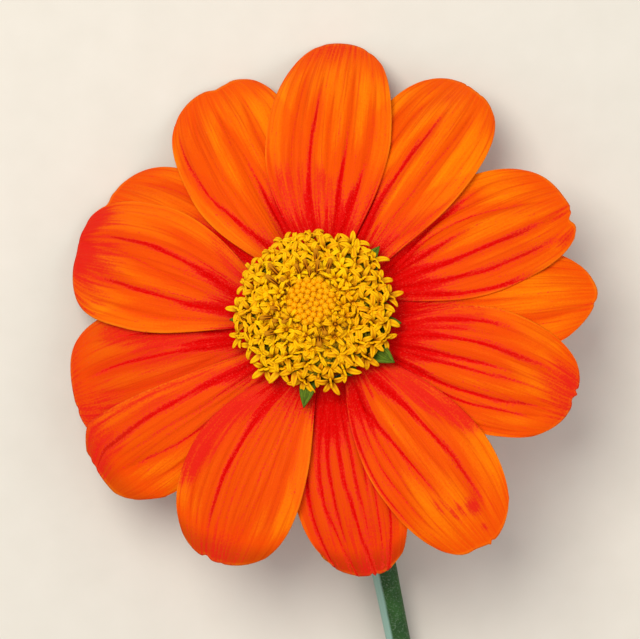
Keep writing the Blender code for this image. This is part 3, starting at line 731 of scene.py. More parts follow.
def petal_sheet(index, v, u):
    """The petal's smooth middle surface in the head's frame, and its half width at each point."""
    petal = PETALS[index]
    widest = petal.widest * petal.length
    tip = petal.length - widest
    corner = widest + tip * (1 - TIP_CORNER**petal.square) ** (1 / petal.square)
    out = v * corner
    half = petal_half_width(petal, out)
    side = u * half * (1 + petal.uneven * u * np.minimum(out / widest, 1))
    arch = widest + tip * (1 - (np.abs(u) * TIP_CORNER) ** petal.square) ** (1 / petal.square)
    out = out + (arch - corner) * v**2 + petal.slant * u * v**3
    for place, depth, width in TIP_DENTS[index]:
        out -= depth * v**6 * np.exp(-(((u - place) / width) ** 2))
    side = side + math.tan(math.radians(petal.turn)) * out + petal.bend * (out / petal.length) ** 2
    azimuth = math.radians(petal_azimuth(index))
    root = RECEPTACLE_RADIUS + GAP
    x = math.cos(azimuth) * (root + out) - math.sin(azimuth) * side
    y = math.sin(azimuth) * (root + out) + math.cos(azimuth) * side
    reach = np.hypot(x, y) - root
    fall = droop_at(np.degrees(np.arctan2(y, x))) * reach**2
    turn = np.clip((u - petal.cross) / LAYER_TURN, -1, 1)
    turn = turn * (1.5 - 0.5 * turn * turn)
    layer = LAYER_LIFT * ((petal.left + petal.right) / 2 + (petal.left - petal.right) / 2 * turn)
    z = CLAW_HEIGHT + math.tan(math.radians(PETAL_RISE)) * reach - fall + layer
    z -= PETAL_CROWN * u * u
    over = np.where(u > petal.cross, petal.left, petal.right)
    z -= CLAW_TUCK * over * np.abs(u) ** 3 * (1 - ease(reach, 1, CLAW_TUCK_REACH))
    return x, y, z, half


def wander(v, seed):
    """A slow wander to either side, because nothing that grows runs quite straight."""
    return 0.6 * np.sin(v * 8.3 + seed) + 0.4 * np.sin(v * 19.7 + 2.3 * seed)


def fold_lines(index, v, u, half):
    """How deep the folds press the petal in, how red they are, and where their creases run."""
    depth = np.zeros_like(v)
    clear = np.ones_like(v)
    crease_shade = np.zeros_like(v)
    for number, (root, middle, tip, reach, strength) in enumerate(MARKINGS[index].folds):
        bow = (root + tip - 2 * middle) / 0.32
        line = middle + (tip - root) / 0.8 * (v - 0.5) + bow * (v - 0.5) ** 2
        away = (u - line) * half + FOLD_WANDER * wander(v, 2.1 * index + 1.7 * number)
        start = ease(v, 0.0, 0.12)
        fade = start * (1 - ease(v, reach - 0.28, reach + 0.02))
        furrow = FOLD_DEPTH * np.exp(-((away / FOLD_WIDTH) ** 2))
        furrow += DIP_DEPTH * np.exp(-((away / DIP_WIDTH) ** 2))
        depth += furrow * fade * (0.25 + 0.75 * strength)
        width = 0.15 + 0.22 * strength**2 + 0.75 * strength**1.5 * (1 - ease(v, 0.06, 0.46))
        sap = np.clip(1.7 * strength - 0.5, 0, 1) * fade * (1 - 0.3 * ease(v, 0.35, 0.9))
        clear *= 1 - np.clip(sap * np.exp(-((away / width) ** 2)), 0, 0.97)
        clear *= 1 - 0.22 * strength * fade * np.exp(-((away / (2.5 * width)) ** 2))
        late = start * (1 - ease(v, min(reach, 0.9) - 0.1, min(reach, 0.9) + 0.12))
        line_only = late * (0.5 + 0.5 * strength) * np.exp(-((away / CREASE_WIDTH) ** 2))
        crease_shade = np.maximum(crease_shade, line_only)
    return depth, 1 - clear, crease_shade


def side_shade_over(index, v, u):
    """How strong the painted shade of the petal's side strips is at each point."""
    side_shade = np.zeros_like(v)
    for side, root, middle, end, reach, strength in SIDE_SHADES.get(index, ()):
        line = np.interp(v, (0.05, 0.35, reach), (root, middle, end))
        inside = ease(side * u, line - 0.18, line + 0.22) * (1 - ease(v, reach - 0.2, reach + 0.06))
        side_shade = np.maximum(side_shade, strength * inside)
    return side_shade


def lay_petal(index, finish):
    """Lays one petal over its grid, with its folds, its fine ribs and its markings."""
    name = f"ray_petal_{index + 1:02d}"
    obj, v, u = sheet_grid(f"{name}_blade", PETAL_CELLS_ALONG, PETAL_CELLS_ACROSS)
    x, y, z, half = petal_sheet(index, v, u)
    look = MARKINGS[index]
    depth, sap, crease_shade = fold_lines(index, v, u, half)
    phase = 1.7 * index
    ribs = np.cos(u * 23 + phase) * 0.6 + np.cos(u * 41 + 2 * phase + v) * 0.4
    ribs *= RIB_HEIGHT * np.sin(math.pi * np.clip(v, 0.02, 0.98)) ** 0.5
    wave = EDGE_WAVE * np.sin(v * 11 + phase + 1.5 * u) * np.abs(u) ** 5 * ease(v, 0.2, 0.6)
    height = ribs - depth
    points = lean(np.stack([x, y, z + height + wave], axis=1))
    points[:, 2] = np.maximum(points[:, 2], PETAL_THICKNESS / 2)
    write_points(obj.data, points * MM)
    patches = np.zeros_like(v)
    for place_v, place_u, long, wide, strength in look.patches:
        spread = ((v - place_v) / long) ** 2 + ((u - place_u) / wide) ** 2
        patches = np.maximum(patches, strength * np.exp(-spread))
    mark(obj.data, "sap", sap)
    # The creases are painted darker in the skin, as painted shade.
    mark(obj.data, "crease_shade", crease_shade)
    mark(obj.data, "base", np.clip(1.5 - (v - look.red_base + 0.12) / 0.17, 0, 2))
    mark(obj.data, "flush", np.full_like(v, look.flush))
    mark(obj.data, "tip", look.tip * ease(v, 0.74, 1.0))
    mark(obj.data, "patch", patches)
    mark(obj.data, "side_shade", side_shade_over(index, v, u))
    mark(obj.data, "out", v - 0.7 * look.flush)
    # The colour follows this height: painted light on the ridges and painted shade in the furrows.
    mark(obj.data, "relief_shading", np.clip(0.5 + height / RIDGE_SPAN, 0, 1))
    rim = np.maximum(ease(np.abs(u), 0.965, 1.0), ease(v, 0.982, 1.0)) * ease(v, 0.25, 0.5)
    mark(obj.data, "rim", rim * (0.6 + 0.4 * wander(v + 0.5 * u, phase)))
    obj.data.materials.append(finish)
    return obj


def shade_overlaps(petals):
    """A petal looks deeper where another lies close under it, because less light comes through."""
    points = []
    faces = []
    for obj in petals:
        start = len(points)
        points.extend(obj.matrix_world @ vert.co for vert in obj.data.vertices)
        faces.extend([start + i for i in face.vertices] for face in obj.data.polygons)
    tree = BVHTree.FromPolygons(points, faces)
    columns = PETAL_CELLS_ALONG + 1
    rows = PETAL_CELLS_ACROSS + 1
    start = 0
    for obj in petals:
        count = len(obj.data.vertices)
        covered = np.zeros(count)
        for i in range(count):
            under = points[start + i] - HEAD_UP * OVERLAP_START * MM
            if tree.ray_cast(under, -HEAD_UP, OVERLAP_REACH * MM)[0] is not None:
                covered[i] = 1
        start += count
        soft = np.pad(covered.reshape(rows, columns), 1, mode="edge")
        soft = sum(soft[a : a + rows, b : b + columns] for a in range(3) for b in range(3)) / 9
        mark(obj.data, "overlap", soft)


def lay_petals():
    finish = petal_tissue()
    petals = [lay_petal(index, finish) for index in range(PETAL_COUNT)]
    shade_overlaps(petals)
    for index, obj in enumerate(petals):
        press(obj, "SOLIDIFY", thickness=PETAL_THICKNESS * MM, offset=0)
        smooth(obj)
        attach(obj, "root")
        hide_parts(f"ray_petal_{index + 1:02d}")


# Florets


def dome_height(radius):
    """How high the disc's dome stands over the plane of the petals' roots."""
    return DOME_HEIGHT - DOME_FALL * (radius / DOME_RADIUS) ** 2


def make_lobe(name, start_angle, end_angle, length, width, thickness, point):
    """One strap-shaped lobe, thick in its middle, with a channel down it. The angles are from the
    floret's axis, and point is how early it starts to narrow to its tip."""
    obj, v, u = sheet_grid(name, 7, 4)
    steps = 24
    fine = np.linspace(0, 1, steps + 1)
    angle = np.radians(start_angle + (end_angle - start_angle) * fine**1.2)
    out = THROAT_RADIUS * 0.8 + np.concatenate([[0], np.cumsum(np.sin(angle[1:])) / steps]) * length
    up = np.concatenate([[0], np.cumsum(np.cos(angle[1:])) / steps]) * length
    half = width / 2 * (0.65 + 0.35 * np.sin(np.pi * np.minimum(v / 0.45, 1) / 2))
    half = half * (1 - (0.985 * v) ** (5.0 - 3.4 * point)) ** (0.5 + 0.35 * point)
    turn = np.interp(v, fine, angle)
    channel = (0.15 + 0.45 * point) * half * (u * u - 0.5)
    x = np.interp(v, fine, out) - np.cos(turn) * channel
    z = np.interp(v, fine, up) + np.sin(turn) * channel
    write_points(obj.data, np.stack([x, u * half, z], axis=1))
    mark(obj.data, "along", v)
    mark(obj.data, "edge", np.abs(u))
    press(obj, "SOLIDIFY", thickness=thickness, offset=0)
    smooth(obj)
    return obj


def open_top(name):
    """Names the piece just added and opens it for editing with the faces that look up selected."""
    obj = bpy.context.object
    obj.name = name
    bpy.ops.object.transform_apply(location=True)
    hold(obj)
    bpy.ops.object.mode_set(mode="EDIT")
    bpy.ops.mesh.select_mode(type="FACE")
    bpy.ops.mesh.select_all(action="DESELECT")
    bpy.ops.object.mode_set(mode="OBJECT")
    for face in obj.data.polygons:
        face.select = face.normal.z > 0.9
    bpy.ops.object.mode_set(mode="EDIT")
    return obj


def make_tube(name):
    """The floret's tube, wider at its mouth, with the throat sunk into it."""
    deselect()
    bpy.ops.mesh.primitive_cone_add(
        vertices=2 * LOBE_COUNT,
        radius1=TUBE_FOOT_RADIUS,
        radius2=THROAT_RADIUS,
        depth=TUBE_LENGTH,
        location=(0, 0, -TUBE_LENGTH / 2),
    )
    obj = open_top(name)
    bpy.ops.mesh.inset(thickness=THROAT_RIM)
    bpy.ops.transform.translate(value=(0, 0, -THROAT_DEPTH))
    bpy.ops.object.mode_set(mode="OBJECT")
    mark(obj.data, "along", np.array([-1.0 if vert.select else 0.0 for vert in obj.data.vertices]))
    mark(obj.data, "edge", np.ones(len(obj.data.vertices)))
    smooth(obj)
    return obj


def make_anther_tube(name, stand_out, radius):
    """Five anthers side by side in a tube that stands out of the throat and closes over at its top."""
    deselect()
    bpy.ops.mesh.primitive_cone_add(
        vertices=2 * LOBE_COUNT,
        radius1=radius * 0.85,
        radius2=radius,
        depth=stand_out + 0.6,
        location=(0, 0, stand_out / 2 - 0.3),
    )
    obj = open_top(name)
    bpy.ops.mesh.extrude_region_move(TRANSFORM_OT_translate={"value": (0, 0, ANTHER_TIP)})
    bpy.ops.transform.resize(value=(0.45, 0.45, 1.0), center_override=(0, 0, 0))
    bpy.ops.object.mode_set(mode="OBJECT")
    points = read_points(obj.data)
    azimuth = np.arctan2(points[:, 1], points[:, 0])
    seam = 0.5 + 0.5 * np.sin(LOBE_COUNT * azimuth)
    points[:, :2] *= (0.84 + 0.2 * seam)[:, None]
    write_points(obj.data, points)
    mark(obj.data, "along", np.clip(points[:, 2] / stand_out, 0, 1))
    mark(obj.data, "edge", seam)
    smooth(obj)
    return obj


def make_style_arm(name, side, draw):
    """One of the two arms of a floret's style, curling back on itself."""
    deselect()
    bpy.ops.mesh.primitive_cylinder_add(
        vertices=6, radius=ARM_RADIUS, depth=ARM_STEP, location=(0.1 * side, 0, 0.1)
    )
    obj = open_top(name)
    curl = draw.uniform(34, 58)
    for step in range(5):
        turn = math.radians(12 + curl * step)
        step_out = (ARM_STEP * side * math.sin(turn), 0, ARM_STEP * math.cos(turn))
        bpy.ops.mesh.extrude_region_move(TRANSFORM_OT_translate={"value": step_out})
        if step == 3:
            bpy.ops.mesh.inset(thickness=0.06)
    bpy.ops.object.mode_set(mode="OBJECT")
    mark(obj.data, "along", np.ones(len(obj.data.vertices)))
    mark(obj.data, "edge", np.full(len(obj.data.vertices), 0.6))
    smooth(obj)
    return obj


# A floret's age: how its lobes start and end, from its axis, their width and thickness, how pointed
# they are, how far its tube of anthers stands out, and that tube's radius. Without one, the curled arms
# of its style show.
Age = namedtuple("Age", "start end width thickness point anthers anther_radius")
AGES = {
    "upright": Age(-4, 10, 0.6, 0.34, 0.0, 0.2, 0.26),
    "opening": Age(6, 84, 0.64, 0.34, 0.1, 0.3, 0.26),
    "anthers out": Age(34, 140, 0.56, 0.3, 0.1, 2.3, 0.43),
    "open": Age(20, 150, 0.66, 0.3, 0.15, 0, 0),
    "outer": Age(40, 112, 0.8, 0.22, 0.6, 0, 0),
}


def make_floret(name, draw, age, finishes):
    """A floret: five lobes round a throat, with its anthers or the arms of its style in the middle."""
    parts = []
    twist = draw.uniform(-8, 8)
    for number in range(LOBE_COUNT):
        lobe = make_lobe(
            f"{name}_lobe",
            age.start + draw.uniform(-9, 9),
            age.end + draw.uniform(-40, 40),
            LOBE_LENGTH * draw.uniform(0.8, 1.15),
            age.width * draw.uniform(0.9, 1.1),
            age.thickness,
            age.point,
        )
        turn = math.radians(360 / LOBE_COUNT * number + twist + draw.uniform(-13, 13))
        lobe.data.transform(Matrix.Rotation(turn, 4, "Z"))
        lobe.data.materials.append(finishes["lobe"])
        parts.append(lobe)
    tube = make_tube(f"{name}_tube")
    tube.data.materials.append(finishes["lobe"])
    parts.append(tube)
    if age.anthers > 0:
        inside = [make_anther_tube(f"{name}_anthers", age.anthers, age.anther_radius)]
        finish = finishes["anther"]
    else:
        inside = [make_style_arm(f"{name}_arm", side, draw) for side in (-1, 1)]
        finish = finishes["lobe"]
    for obj in inside:
        obj.data.materials.append(finish)
    return joined(parts + inside, name)


def make_bud(name, finish):
    """A closed floret: a small blunt knob, its five lobes folded together over its top."""
    deselect()
    bpy.ops.mesh.primitive_uv_sphere_add(segments=15, ring_count=8, radius=BUD_RADIUS)
    obj = bpy.context.object
    obj.name = name
    points = read_points(obj.data)
    azimuth = np.arctan2(points[:, 1], points[:, 0])
    high = points[:, 2] / BUD_RADIUS
    seam = 0.5 - 0.5 * np.cos(LOBE_COUNT * azimuth)
    points[:, :2] *= (1 - 0.16 * seam * ease(high, -0.2, 0.7))[:, None]
    points[:, 2] = points[:, 2] * 1.05 - 0.09 * seam * ease(high, 0.5, 0.9) - 0.12 * ease(high, 0.95, 1.0)
    write_points(obj.data, points)
    # Painted shade: darker towards the foot and in the seams.
    folded = 1 - 0.55 * seam * ease(high, 0.2, 0.8)
    mark(obj.data, "along", np.clip(0.5 + 0.5 * high, 0, 1) * folded)
    obj.data.materials.append(finish)
    smooth(obj)
    return obj


def standing(radius, azimuth, height, lean_out, twist, size, shift):
    """The place of a floret on the dome, leaning out from the disc's middle."""
    x = radius * math.cos(azimuth) + shift[0]
    y = DISC_SQUEEZE * radius * math.sin(azimuth) + shift[1]
    place = Vector((x, y, height))
    out = Matrix.Rotation(azimuth, 4, "Z") @ Matrix.Rotation(lean_out, 4, "Y")
    turn = out @ Matrix.Rotation(twist, 4, "Z") @ Matrix.Scale(size, 4)
    return Matrix.Scale(MM, 4) @ HEAD @ Matrix.Translation(place) @ turn


def make_core(name, inner, outer, drop, shift, finish):
    """The low dome that the florets stand on, or a ring of it, drawn up and in from its outer edge."""
    deselect()
    bpy.ops.mesh.primitive_circle_add(vertices=48, radius=outer, fill_type="NOTHING", location=(0, 0, 0))
    obj = bpy.context.object
    obj.name = name
    bpy.ops.object.mode_set(mode="EDIT")
    bpy.ops.mesh.select_mode(type="VERT")
    bpy.ops.mesh.select_all(action="SELECT")
    foot = RECEPTACLE_RIM_TOP + BED_FOOT
    bpy.ops.transform.translate(value=(0, 0, foot))
    bpy.ops.mesh.extrude_region_move(
        TRANSFORM_OT_translate={"value": (0, 0, dome_height(outer) - drop - foot)}
    )
    last = outer
    for row in range(1, BED_ROWS + 1):
        radius = outer + (inner - outer) * row / BED_ROWS
        bpy.ops.mesh.extrude_region_move(
            TRANSFORM_OT_translate={"value": (0, 0, dome_height(radius) - dome_height(last))}
        )
        bpy.ops.transform.resize(value=(radius / last, radius / last, 1), center_override=(0, 0, 0))
        last = radius
    if inner > 1:
        # A ring gets an inner wall, and its underside is bridged.
        foot = RECEPTACLE_CROWN + BED_FOOT
        bpy.ops.mesh.extrude_region_move(
            TRANSFORM_OT_translate={"value": (0, 0, foot - (dome_height(inner) - drop))}
        )
        bpy.ops.mesh.select_all(action="DESELECT")
        bpy.ops.object.mode_set(mode="OBJECT")
        heights = read_points(obj.data)
        radii = np.hypot(heights[:, 0], heights[:, 1])
        low = (heights[:, 2] < foot + 0.1) & ((radii > outer - 0.1) | (radii < inner + 0.1))
        for edge in obj.data.edges:
            edge.select = bool(low[edge.vertices[0]] and low[edge.vertices[1]])
        bpy.ops.object.mode_set(mode="EDIT")
        bpy.ops.mesh.select_mode(type="EDGE")
        bpy.ops.mesh.bridge_edge_loops()
    else:
        # A full dome is drawn together at its crown, and its underside is filled.
        bpy.ops.mesh.merge(type="CENTER")
        bpy.ops.mesh.select_all(action="SELECT")
        bpy.ops.mesh.fill_holes(sides=0)
    bpy.ops.mesh.select_all(action="SELECT")
    bpy.ops.mesh.normals_make_consistent(inside=False)
    bpy.ops.object.mode_set(mode="OBJECT")
    points = read_points(obj.data)
    mark(obj.data, "along", np.clip((np.hypot(points[:, 0], points[:, 1]) - inner) / BED_SHADE_WIDTH, 0, 1))
    obj.data.transform(Matrix.Scale(MM, 4) @ HEAD @ Matrix.Translation((*shift, 0)))
    obj.data.materials.append(finish)
    smooth(obj)
    return obj


def near_azimuth(azimuth, places, within):
    """Whether this azimuth lies so many degrees from one of the places."""
    return any(abs((math.degrees(azimuth) - place + 180) % 360 - 180) < within for place in places)


def age_at(radius, azimuth):
    """Florets are younger nearer the middle, and a few of the younger ones hold their anthers out."""
    if radius < OPENING_RADIUS and near_azimuth(azimuth, ANTHER_AZIMUTHS, ANTHER_SPREAD):
        return "anthers out"
    if radius < UPRIGHT_RADIUS:
        return "upright"
    if radius < OPENING_RADIUS:
        return "opening"
    if radius > OUTER_RADIUS and near_azimuth(azimuth, (STAR_SIDE,), STAR_SPREAD):
        return "outer"
    return "open"


def grow_open_florets(draw, finishes):
    """Rings of florets round the crown of buds, from upright ones to those leaning out at the edge."""
    kinds = {
        name: [make_floret(f"{name}_{number}", draw, age, finishes) for number in range(4)]
        for name, age in AGES.items()
    }
    core = make_core("floret_bed", *FLORET_BED, finishes["bed"])
    made = [core]
    for index in range(FLORET_COUNT):
        room = FIRST_FLORET_ROOM + (LAST_FLORET_ROOM - FIRST_FLORET_ROOM) * index / FLORET_COUNT / 2
        radius = math.sqrt(FIRST_FLORET_RADIUS**2 + room * (index + 0.5))
        azimuth = math.radians(GOLDEN_ANGLE * (index + BUD_COUNT))
        age = age_at(radius, azimuth)
        outward = max(0, (radius - TILT_START_RADIUS) / TILT_WIDTH) ** 1.5
        tilt = INNER_TILT + EDGE_TILT * outward + draw.uniform(-TILT_SPREAD, TILT_SPREAD)
        if age == "anthers out":
            tilt += ANTHERS_TILT
        height = dome_height(radius) - FLORET_SINK + draw.uniform(-0.4, 0.3) - 0.5 * (age == "upright")
        place = standing(
            radius + draw.uniform(-0.25, 0.25),
            azimuth,
            height,
            math.radians(tilt),
            draw.uniform(0, math.tau),
            draw.uniform(0.92, 1.1) * min(1.04, 0.6 + 0.05 * radius),
            FLORETS_PLACE,
        )
        copy = copy_at(draw.choice(kinds[age]), place)
        # Florets are painted darker away from the side that the head leans to, which faces the window, as
        # painted shade; the outer ones are darker with age too.
        shaded = 0.5 - 0.5 * math.cos(azimuth - math.radians(HEAD_TILT_AZIMUTH))
        aged_and_shaded = (0.0 if radius < 8 else 0.2) + 0.25 * shaded
        mark(copy.data, "tone_and_shade", np.full(len(copy.data.vertices), aged_and_shaded + draw.uniform(0, 0.4)))
        made.append(copy)
    for florets in kinds.values():
        for obj in florets:
            bpy.data.objects.remove(obj, do_unlink=True)
    obj = joined(made, "disc_florets")
    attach(obj, "root")
    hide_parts("open_florets")


def grow_buds(draw, finishes):
    """The closed florets in the middle of the disc, in their spiral."""
    pattern = make_bud("bud_pattern", finishes["bud"])
    core = make_core("bud_bed", *BUD_BED, finishes["bud"])
    # The bed between the buds takes the skin's darkest colour, as painted shade between them.
    mark(core.data, "along", np.zeros(len(core.data.vertices)))
    made = [core]
    for index in range(BUD_COUNT):
        radius = BUD_SPREAD * math.sqrt(index + 0.3)
        azimuth = math.radians(GOLDEN_ANGLE * index)
        size = 0.9 + 0.07 * radius + draw.uniform(-0.07, 0.07)
        height = dome_height(radius) - BUD_SINK + draw.uniform(-0.12, 0.12)
        lean_out = math.radians(3.5 * radius + draw.uniform(-9, 9))
        turn = draw.uniform(0, math.tau)
        made.append(copy_at(pattern, standing(radius, azimuth, height, lean_out, turn, size, BUDS_PLACE)))
    bpy.data.objects.remove(pattern, do_unlink=True)
    obj = joined(made, "disc_buds")
    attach(obj, "root")
    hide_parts("central_buds")


# Scales, bracts and stem


def lay_leaf(name, cells, point_at, sizes, thickness, finish):
    """A small pointed leaf laid where point_at puts each (v, u), with a midrib and side nerves."""
    obj, v, u = sheet_grid(name, *cells)
    write_points(obj.data, lean(point_at(v, u, *sizes)) * MM)
    nerve = np.exp(-((u / 0.12) ** 2)) + 0.6 * np.exp(-(((np.abs(u) - 0.5) / 0.1) ** 2))
    mark(obj.data, "nerve", nerve)
    press(obj, "SOLIDIFY", thickness=thickness * MM, offset=0)
    smooth(obj)
    obj.data.materials.append(finish)
    return obj


def scale_point(v, u, azimuth, reach, width):
    """A scale rises beside the outer florets, and its tip points out over the petals."""
    out = RECEPTACLE_RADIUS + 0.5 + (reach - RECEPTACLE_RADIUS - 0.5) * v
    side = u * width / 2 * (0.8 + 0.2 * np.sin(np.pi * v)) * (1 - (0.985 * v) ** 2.2)
    x = math.cos(azimuth) * out - math.sin(azimuth) * side
    y = math.sin(azimuth) * out + math.cos(azimuth) * side
    z = SCALE_HEIGHT + SCALE_SLOPE * (out - 9.5) + 0.45 * u * u * (1 - v) - 0.12 * np.exp(-((u / 0.2) ** 2))
    return np.stack([x, y, z], axis=1)


def grow_scales(draw, finish):
    """The long scales and the even ring of short ones, in one piece."""
    made = []
    rows = list(LONG_SCALES)
    for number in range(SHORT_SCALES):
        azimuth = 360 / SHORT_SCALES * number + draw.uniform(-4, 4)
        rows.append((azimuth, SHORT_SCALE_REACH + draw.uniform(-0.4, 0.4), SHORT_SCALE_WIDTH))
    for number, (azimuth, reach, width) in enumerate(rows):
        sizes = (math.radians(azimuth), reach, width)
        made.append(lay_leaf(f"scale_{number}", (8, 6), scale_point, sizes, SCALE_THICKNESS, finish))
    obj = joined(made, "disc_scales")
    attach(obj, "root")
    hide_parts("scale_tips")


def bract_point(v, u, azimuth, root_radius, root_height, reach, fall, half_width):
    """A bract lies close under the petals, ribbed along it, and falls away towards its tip."""
    out = reach * v
    side = u * half_width * (0.62 + 0.38 * np.sin(np.pi * np.minimum(v * 1.6, 1) / 2))
    side = side * np.sqrt(1 - (0.985 * v) ** 3)
    root = root_radius + GAP
    x = math.cos(azimuth) * (root + out) - math.sin(azimuth) * side
    y = math.sin(azimuth) * (root + out) + math.cos(azimuth) * side
    z = root_height - fall * v * v - 0.35 * u * u * (1 - v)
    z = z + 0.1 * np.cos(u * 16) * np.sin(np.pi * v) - 0.15 * np.exp(-((u / 0.14) ** 2)) * (1 - v)
    return np.stack([x, y, z], axis=1)


def grow_bracts(finish):
    """The inner and outer ring of bracts, each bract its own piece."""
    for name, count, first, *shape in BRACT_RINGS:
        for number in range(count):
            sizes = (math.radians(first - 360 / count * number), *shape)
            leaf = f"{name}_{number + 1:02d}_leaf"
            obj = lay_leaf(leaf, (20, 14), bract_point, sizes, BRACT_THICKNESS, finish)
            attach(obj, "root")
            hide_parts(f"{name}_{number + 1:02d}")


def receptacle_top(radius):
    """How high the receptacle's domed top stands at this radius."""
    fall = RECEPTACLE_CROWN - RECEPTACLE_RIM_TOP
    return RECEPTACLE_CROWN - fall * (radius / RECEPTACLE_RADIUS) ** 2


def stem_rows():
    """(place, radius) down the head's axis, round the neck's bend and along the stem to its cut."""
    rows = []
    for part in (0.02, 0.2, 0.4, 0.6, 0.8, 0.94, 1.0):
        radius = RECEPTACLE_RADIUS * part
        rows.append((HEAD @ Vector((0, 0, receptacle_top(radius))), radius))
    rows.append((HEAD @ Vector((0, 0, RECEPTACLE_RIM_BOTTOM)), RECEPTACLE_RADIUS))
    for step in range(1, CUP_ROWS + 1):
        part = step / CUP_ROWS
        height = RECEPTACLE_RIM_BOTTOM - (CUP_DEPTH + RECEPTACLE_RIM_BOTTOM) * part
        swing = (1 + math.cos(math.pi * part)) / 2
        rows.append((HEAD @ Vector((0, 0, height)), NECK_RADIUS + (RECEPTACLE_RADIUS - NECK_RADIUS) * swing))
    start = HEAD @ Vector((0, 0, -CUP_DEPTH))
    down = -HEAD_UP
    azimuth = math.radians(STEM_AZIMUTH)
    level = Vector((math.cos(azimuth), math.sin(azimuth), 0))
    slope = math.atan2(start.z - NECK_BEND_RADIUS * (1 + down.z * 0.25) - STEM_END_HEIGHT, STEM_LENGTH)
    # The bend's end and the stem's slope depend on each other, so they are tried a few times.
    for _ in range(4):
        along = (level * math.cos(slope) - Vector((0, 0, math.sin(slope)))).normalized()
        angle = down.angle(along)
        bend = []
        for step in range(1, BEND_ROWS + 1):
            turn = angle * step / BEND_ROWS
            swung = (math.cos(angle - turn) - math.cos(angle)) * down + (1 - math.cos(turn)) * along
            radius = NECK_RADIUS + (BEND_END_RADIUS - NECK_RADIUS) * step / BEND_ROWS
            bend.append((start + swung * NECK_BEND_RADIUS / math.sin(angle), radius))
        slope = math.asin((bend[-1][0].z - STEM_END_HEIGHT) / STEM_LENGTH)
    rows += bend
    for step in range(1, STEM_ROWS + 1):
        length = STEM_LENGTH * step / STEM_ROWS
        flare = math.exp(-length / STEM_FLARE_LENGTH * 2.2)
        slim = STEM_MIDDLE_RADIUS + (STEM_END_RADIUS - STEM_MIDDLE_RADIUS) * step / STEM_ROWS
        rows.append((bend[-1][0] + along * length, slim + (BEND_END_RADIUS - slim) * flare))
    return rows, along


def grow_stem(skin, pith):
    """The receptacle, neck and stem in one, from a curve with a round bevel, ribbed along it."""
    rows, along = stem_rows()
    curve = bpy.data.curves.new("stem", "CURVE")
    curve.dimensions = "3D"
    curve.bevel_depth = MM
    curve.bevel_resolution = 11
    curve.use_fill_caps = True
    spline = curve.splines.new("POLY")
    spline.points.add(len(rows) - 1)
    for point, (place, radius) in zip(spline.points, rows):
        point.co = (*(place * MM), 1)
        point.radius = radius
    obj = bpy.data.objects.new("stem_and_receptacle", curve)
    bpy.context.scene.collection.objects.link(obj)
    hold(obj)
    bpy.ops.object.convert(target="MESH")
    obj = bpy.context.object
    obj.data.name = "stem_and_receptacle"
    bpy.ops.object.mode_set(mode="EDIT")
    bpy.ops.mesh.select_all(action="SELECT")
    bpy.ops.mesh.remove_doubles(threshold=0.0005 * MM)
    bpy.ops.mesh.normals_make_consistent(inside=False)
    bpy.ops.object.mode_set(mode="OBJECT")
    rib_stem(obj, rows)
    smooth(obj)
    obj.data.materials.append(skin)
    obj.data.materials.append(pith)
    end = rows[-1][0] * MM
    for face in obj.data.polygons:
        if (face.center - end).dot(along) > -0.02 * MM and face.normal.dot(along) > 0.9:
            face.material_index = 1
            face.use_smooth = False
    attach(obj, "root")
    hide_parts("peduncle")


def rib_stem(obj, rows):
    """Raises faint ribs along the neck and stem, presses its underside flat where it lies on the
    table, and keeps where its grooves are and how far each point faces the window side, where the
    bloom is painted as painted light."""
    points = read_points(obj.data) / MM
    places = np.array([place for place, _ in rows])
    radii = np.array([radius for _, radius in rows])
    ribs = np.zeros(len(points))
    lit_bloom = np.zeros(len(points))
    side = np.array(Vector((0.3, 0.2, 1)).normalized())  # the ribs are counted from here
    for i, point in enumerate(points):
        nearest = int(np.argmin(((places - point) ** 2).sum(axis=1)))
        if nearest < FIRST_RIBBED_ROW:
            continue
        near = places[min(nearest + 1, len(places) - 1)] - places[nearest - 1]
        near /= np.linalg.norm(near)
        away = point - places[nearest]
        away -= near * (away @ near)
        length = np.linalg.norm(away)
        if length < radii[nearest] * 0.5:
            continue
        first = side - near * (side @ near)
        first /= np.linalg.norm(first)
        second = np.cross(near, first)
        angle = math.atan2(away @ second, away @ first)
        crest = 0.5 + 0.5 * math.cos(STEM_RIBS * angle)
        # How far this point faces the window side, for the bloom painted there as painted light.
        lit_bloom[i] = 0.5 + 0.5 * away @ LIT_SIDE / length
        lit_bloom[i] *= min(1, (nearest - FIRST_RIBBED_ROW) / LIT_BLOOM_FADE_ROWS)
        # The grooves are kept for painted shade.
        ribs[i] = 1 - crest
        height = STEM_RIB_HEIGHT * min(radii[nearest], RIBBED_RADIUS)
        points[i] += away / length * height * (crest - 0.5)
    points[:, 2] = np.maximum(points[:, 2], STEM_FLAT)
    write_points(obj.data, points * MM)
    mark(obj.data, "rib", ribs)
    mark(obj.data, "lit_bloom", lit_bloom)


# Table, light and camera


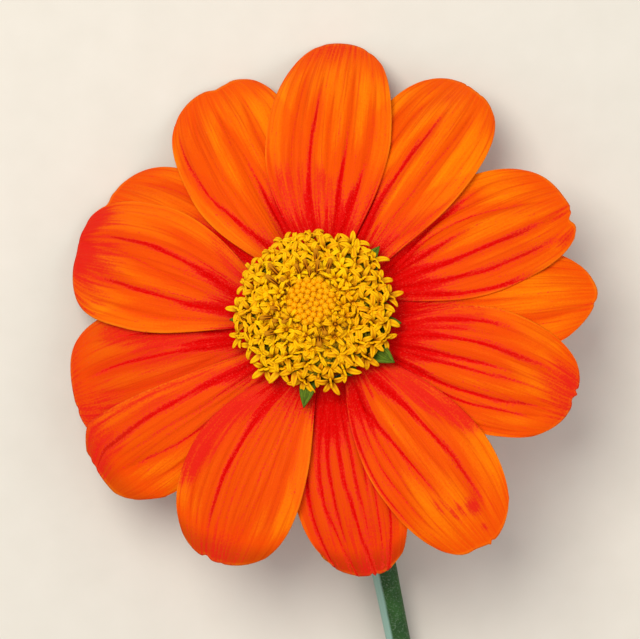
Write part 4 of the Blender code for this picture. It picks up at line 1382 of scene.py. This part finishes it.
def set_stage():
    """A wide table in a pale room, with soft light from a window and a weaker fill."""
    deselect()
    bpy.ops.mesh.primitive_plane_add(size=TABLE_WIDTH, location=(0, 0, 0))
    floor = bpy.context.object
    floor.name = "table_top"
    floor.data.materials.append(pale_paper())
    scene = bpy.context.scene
    world = bpy.data.worlds.new("soft room")
    world.use_nodes = True
    sky = world.node_tree.nodes["Background"]
    sky.inputs["Color"].default_value = colour(ROOM_COLOUR)
    sky.inputs["Strength"].default_value = ROOM_STRENGTH
    scene.world = world
    scene.view_settings.view_transform = "Standard"
    scene.view_settings.look = "None"
    for name, place, width, power, tint in LIGHTS:
        data = bpy.data.lights.new(name, "AREA")
        data.shape = "DISK"
        data.size = width
        data.energy = power
        data.color = colour(tint)[:3]
        lamp = bpy.data.objects.new(name, data)
        scene.collection.objects.link(lamp)
        lamp.location = place
        aim = Vector((HEAD_X, HEAD_Y, LIGHTS_AIM_HEIGHT)) * MM - Vector(place)
        lamp.rotation_euler = aim.to_track_quat("-Z", "Y").to_euler()


def set_camera():
    """Looks straight down on the flower, half a metre above its head."""
    data = bpy.data.cameras.new("camera")
    data.sensor_width = CAMERA_SENSOR
    data.lens = CAMERA_LENS
    camera = bpy.data.objects.new("camera", data)
    bpy.context.scene.collection.objects.link(camera)
    camera.location = CAMERA_PLACE * MM
    bpy.context.scene.camera = camera


def build():
    draw = random.Random(SEED)
    finishes = {
        "lobe": lobe_tissue(),
        "bud": bud_tissue(),
        "anther": anther_tissue(),
        "bed": floor_of_disc(),
    }
    lay_petals()
    grow_open_florets(draw, finishes)
    grow_buds(draw, finishes)
    scale_skin = ("fresh green scale skin", "3F5A12", "6F8E22", "4C6414", SCALE_SIZE, (2.0, 0.2))
    bract_skin = ("fresh green bract skin", "4F6E2C", "7C9A48", "9DB46A", BRACT_SIZE, (2.7, 0.3))
    grow_scales(draw, leaf_tissue(*scale_skin))
    grow_bracts(leaf_tissue(*bract_skin))
    grow_stem(stem_skin(), cut_pith())
    set_stage()
    set_camera()


build()
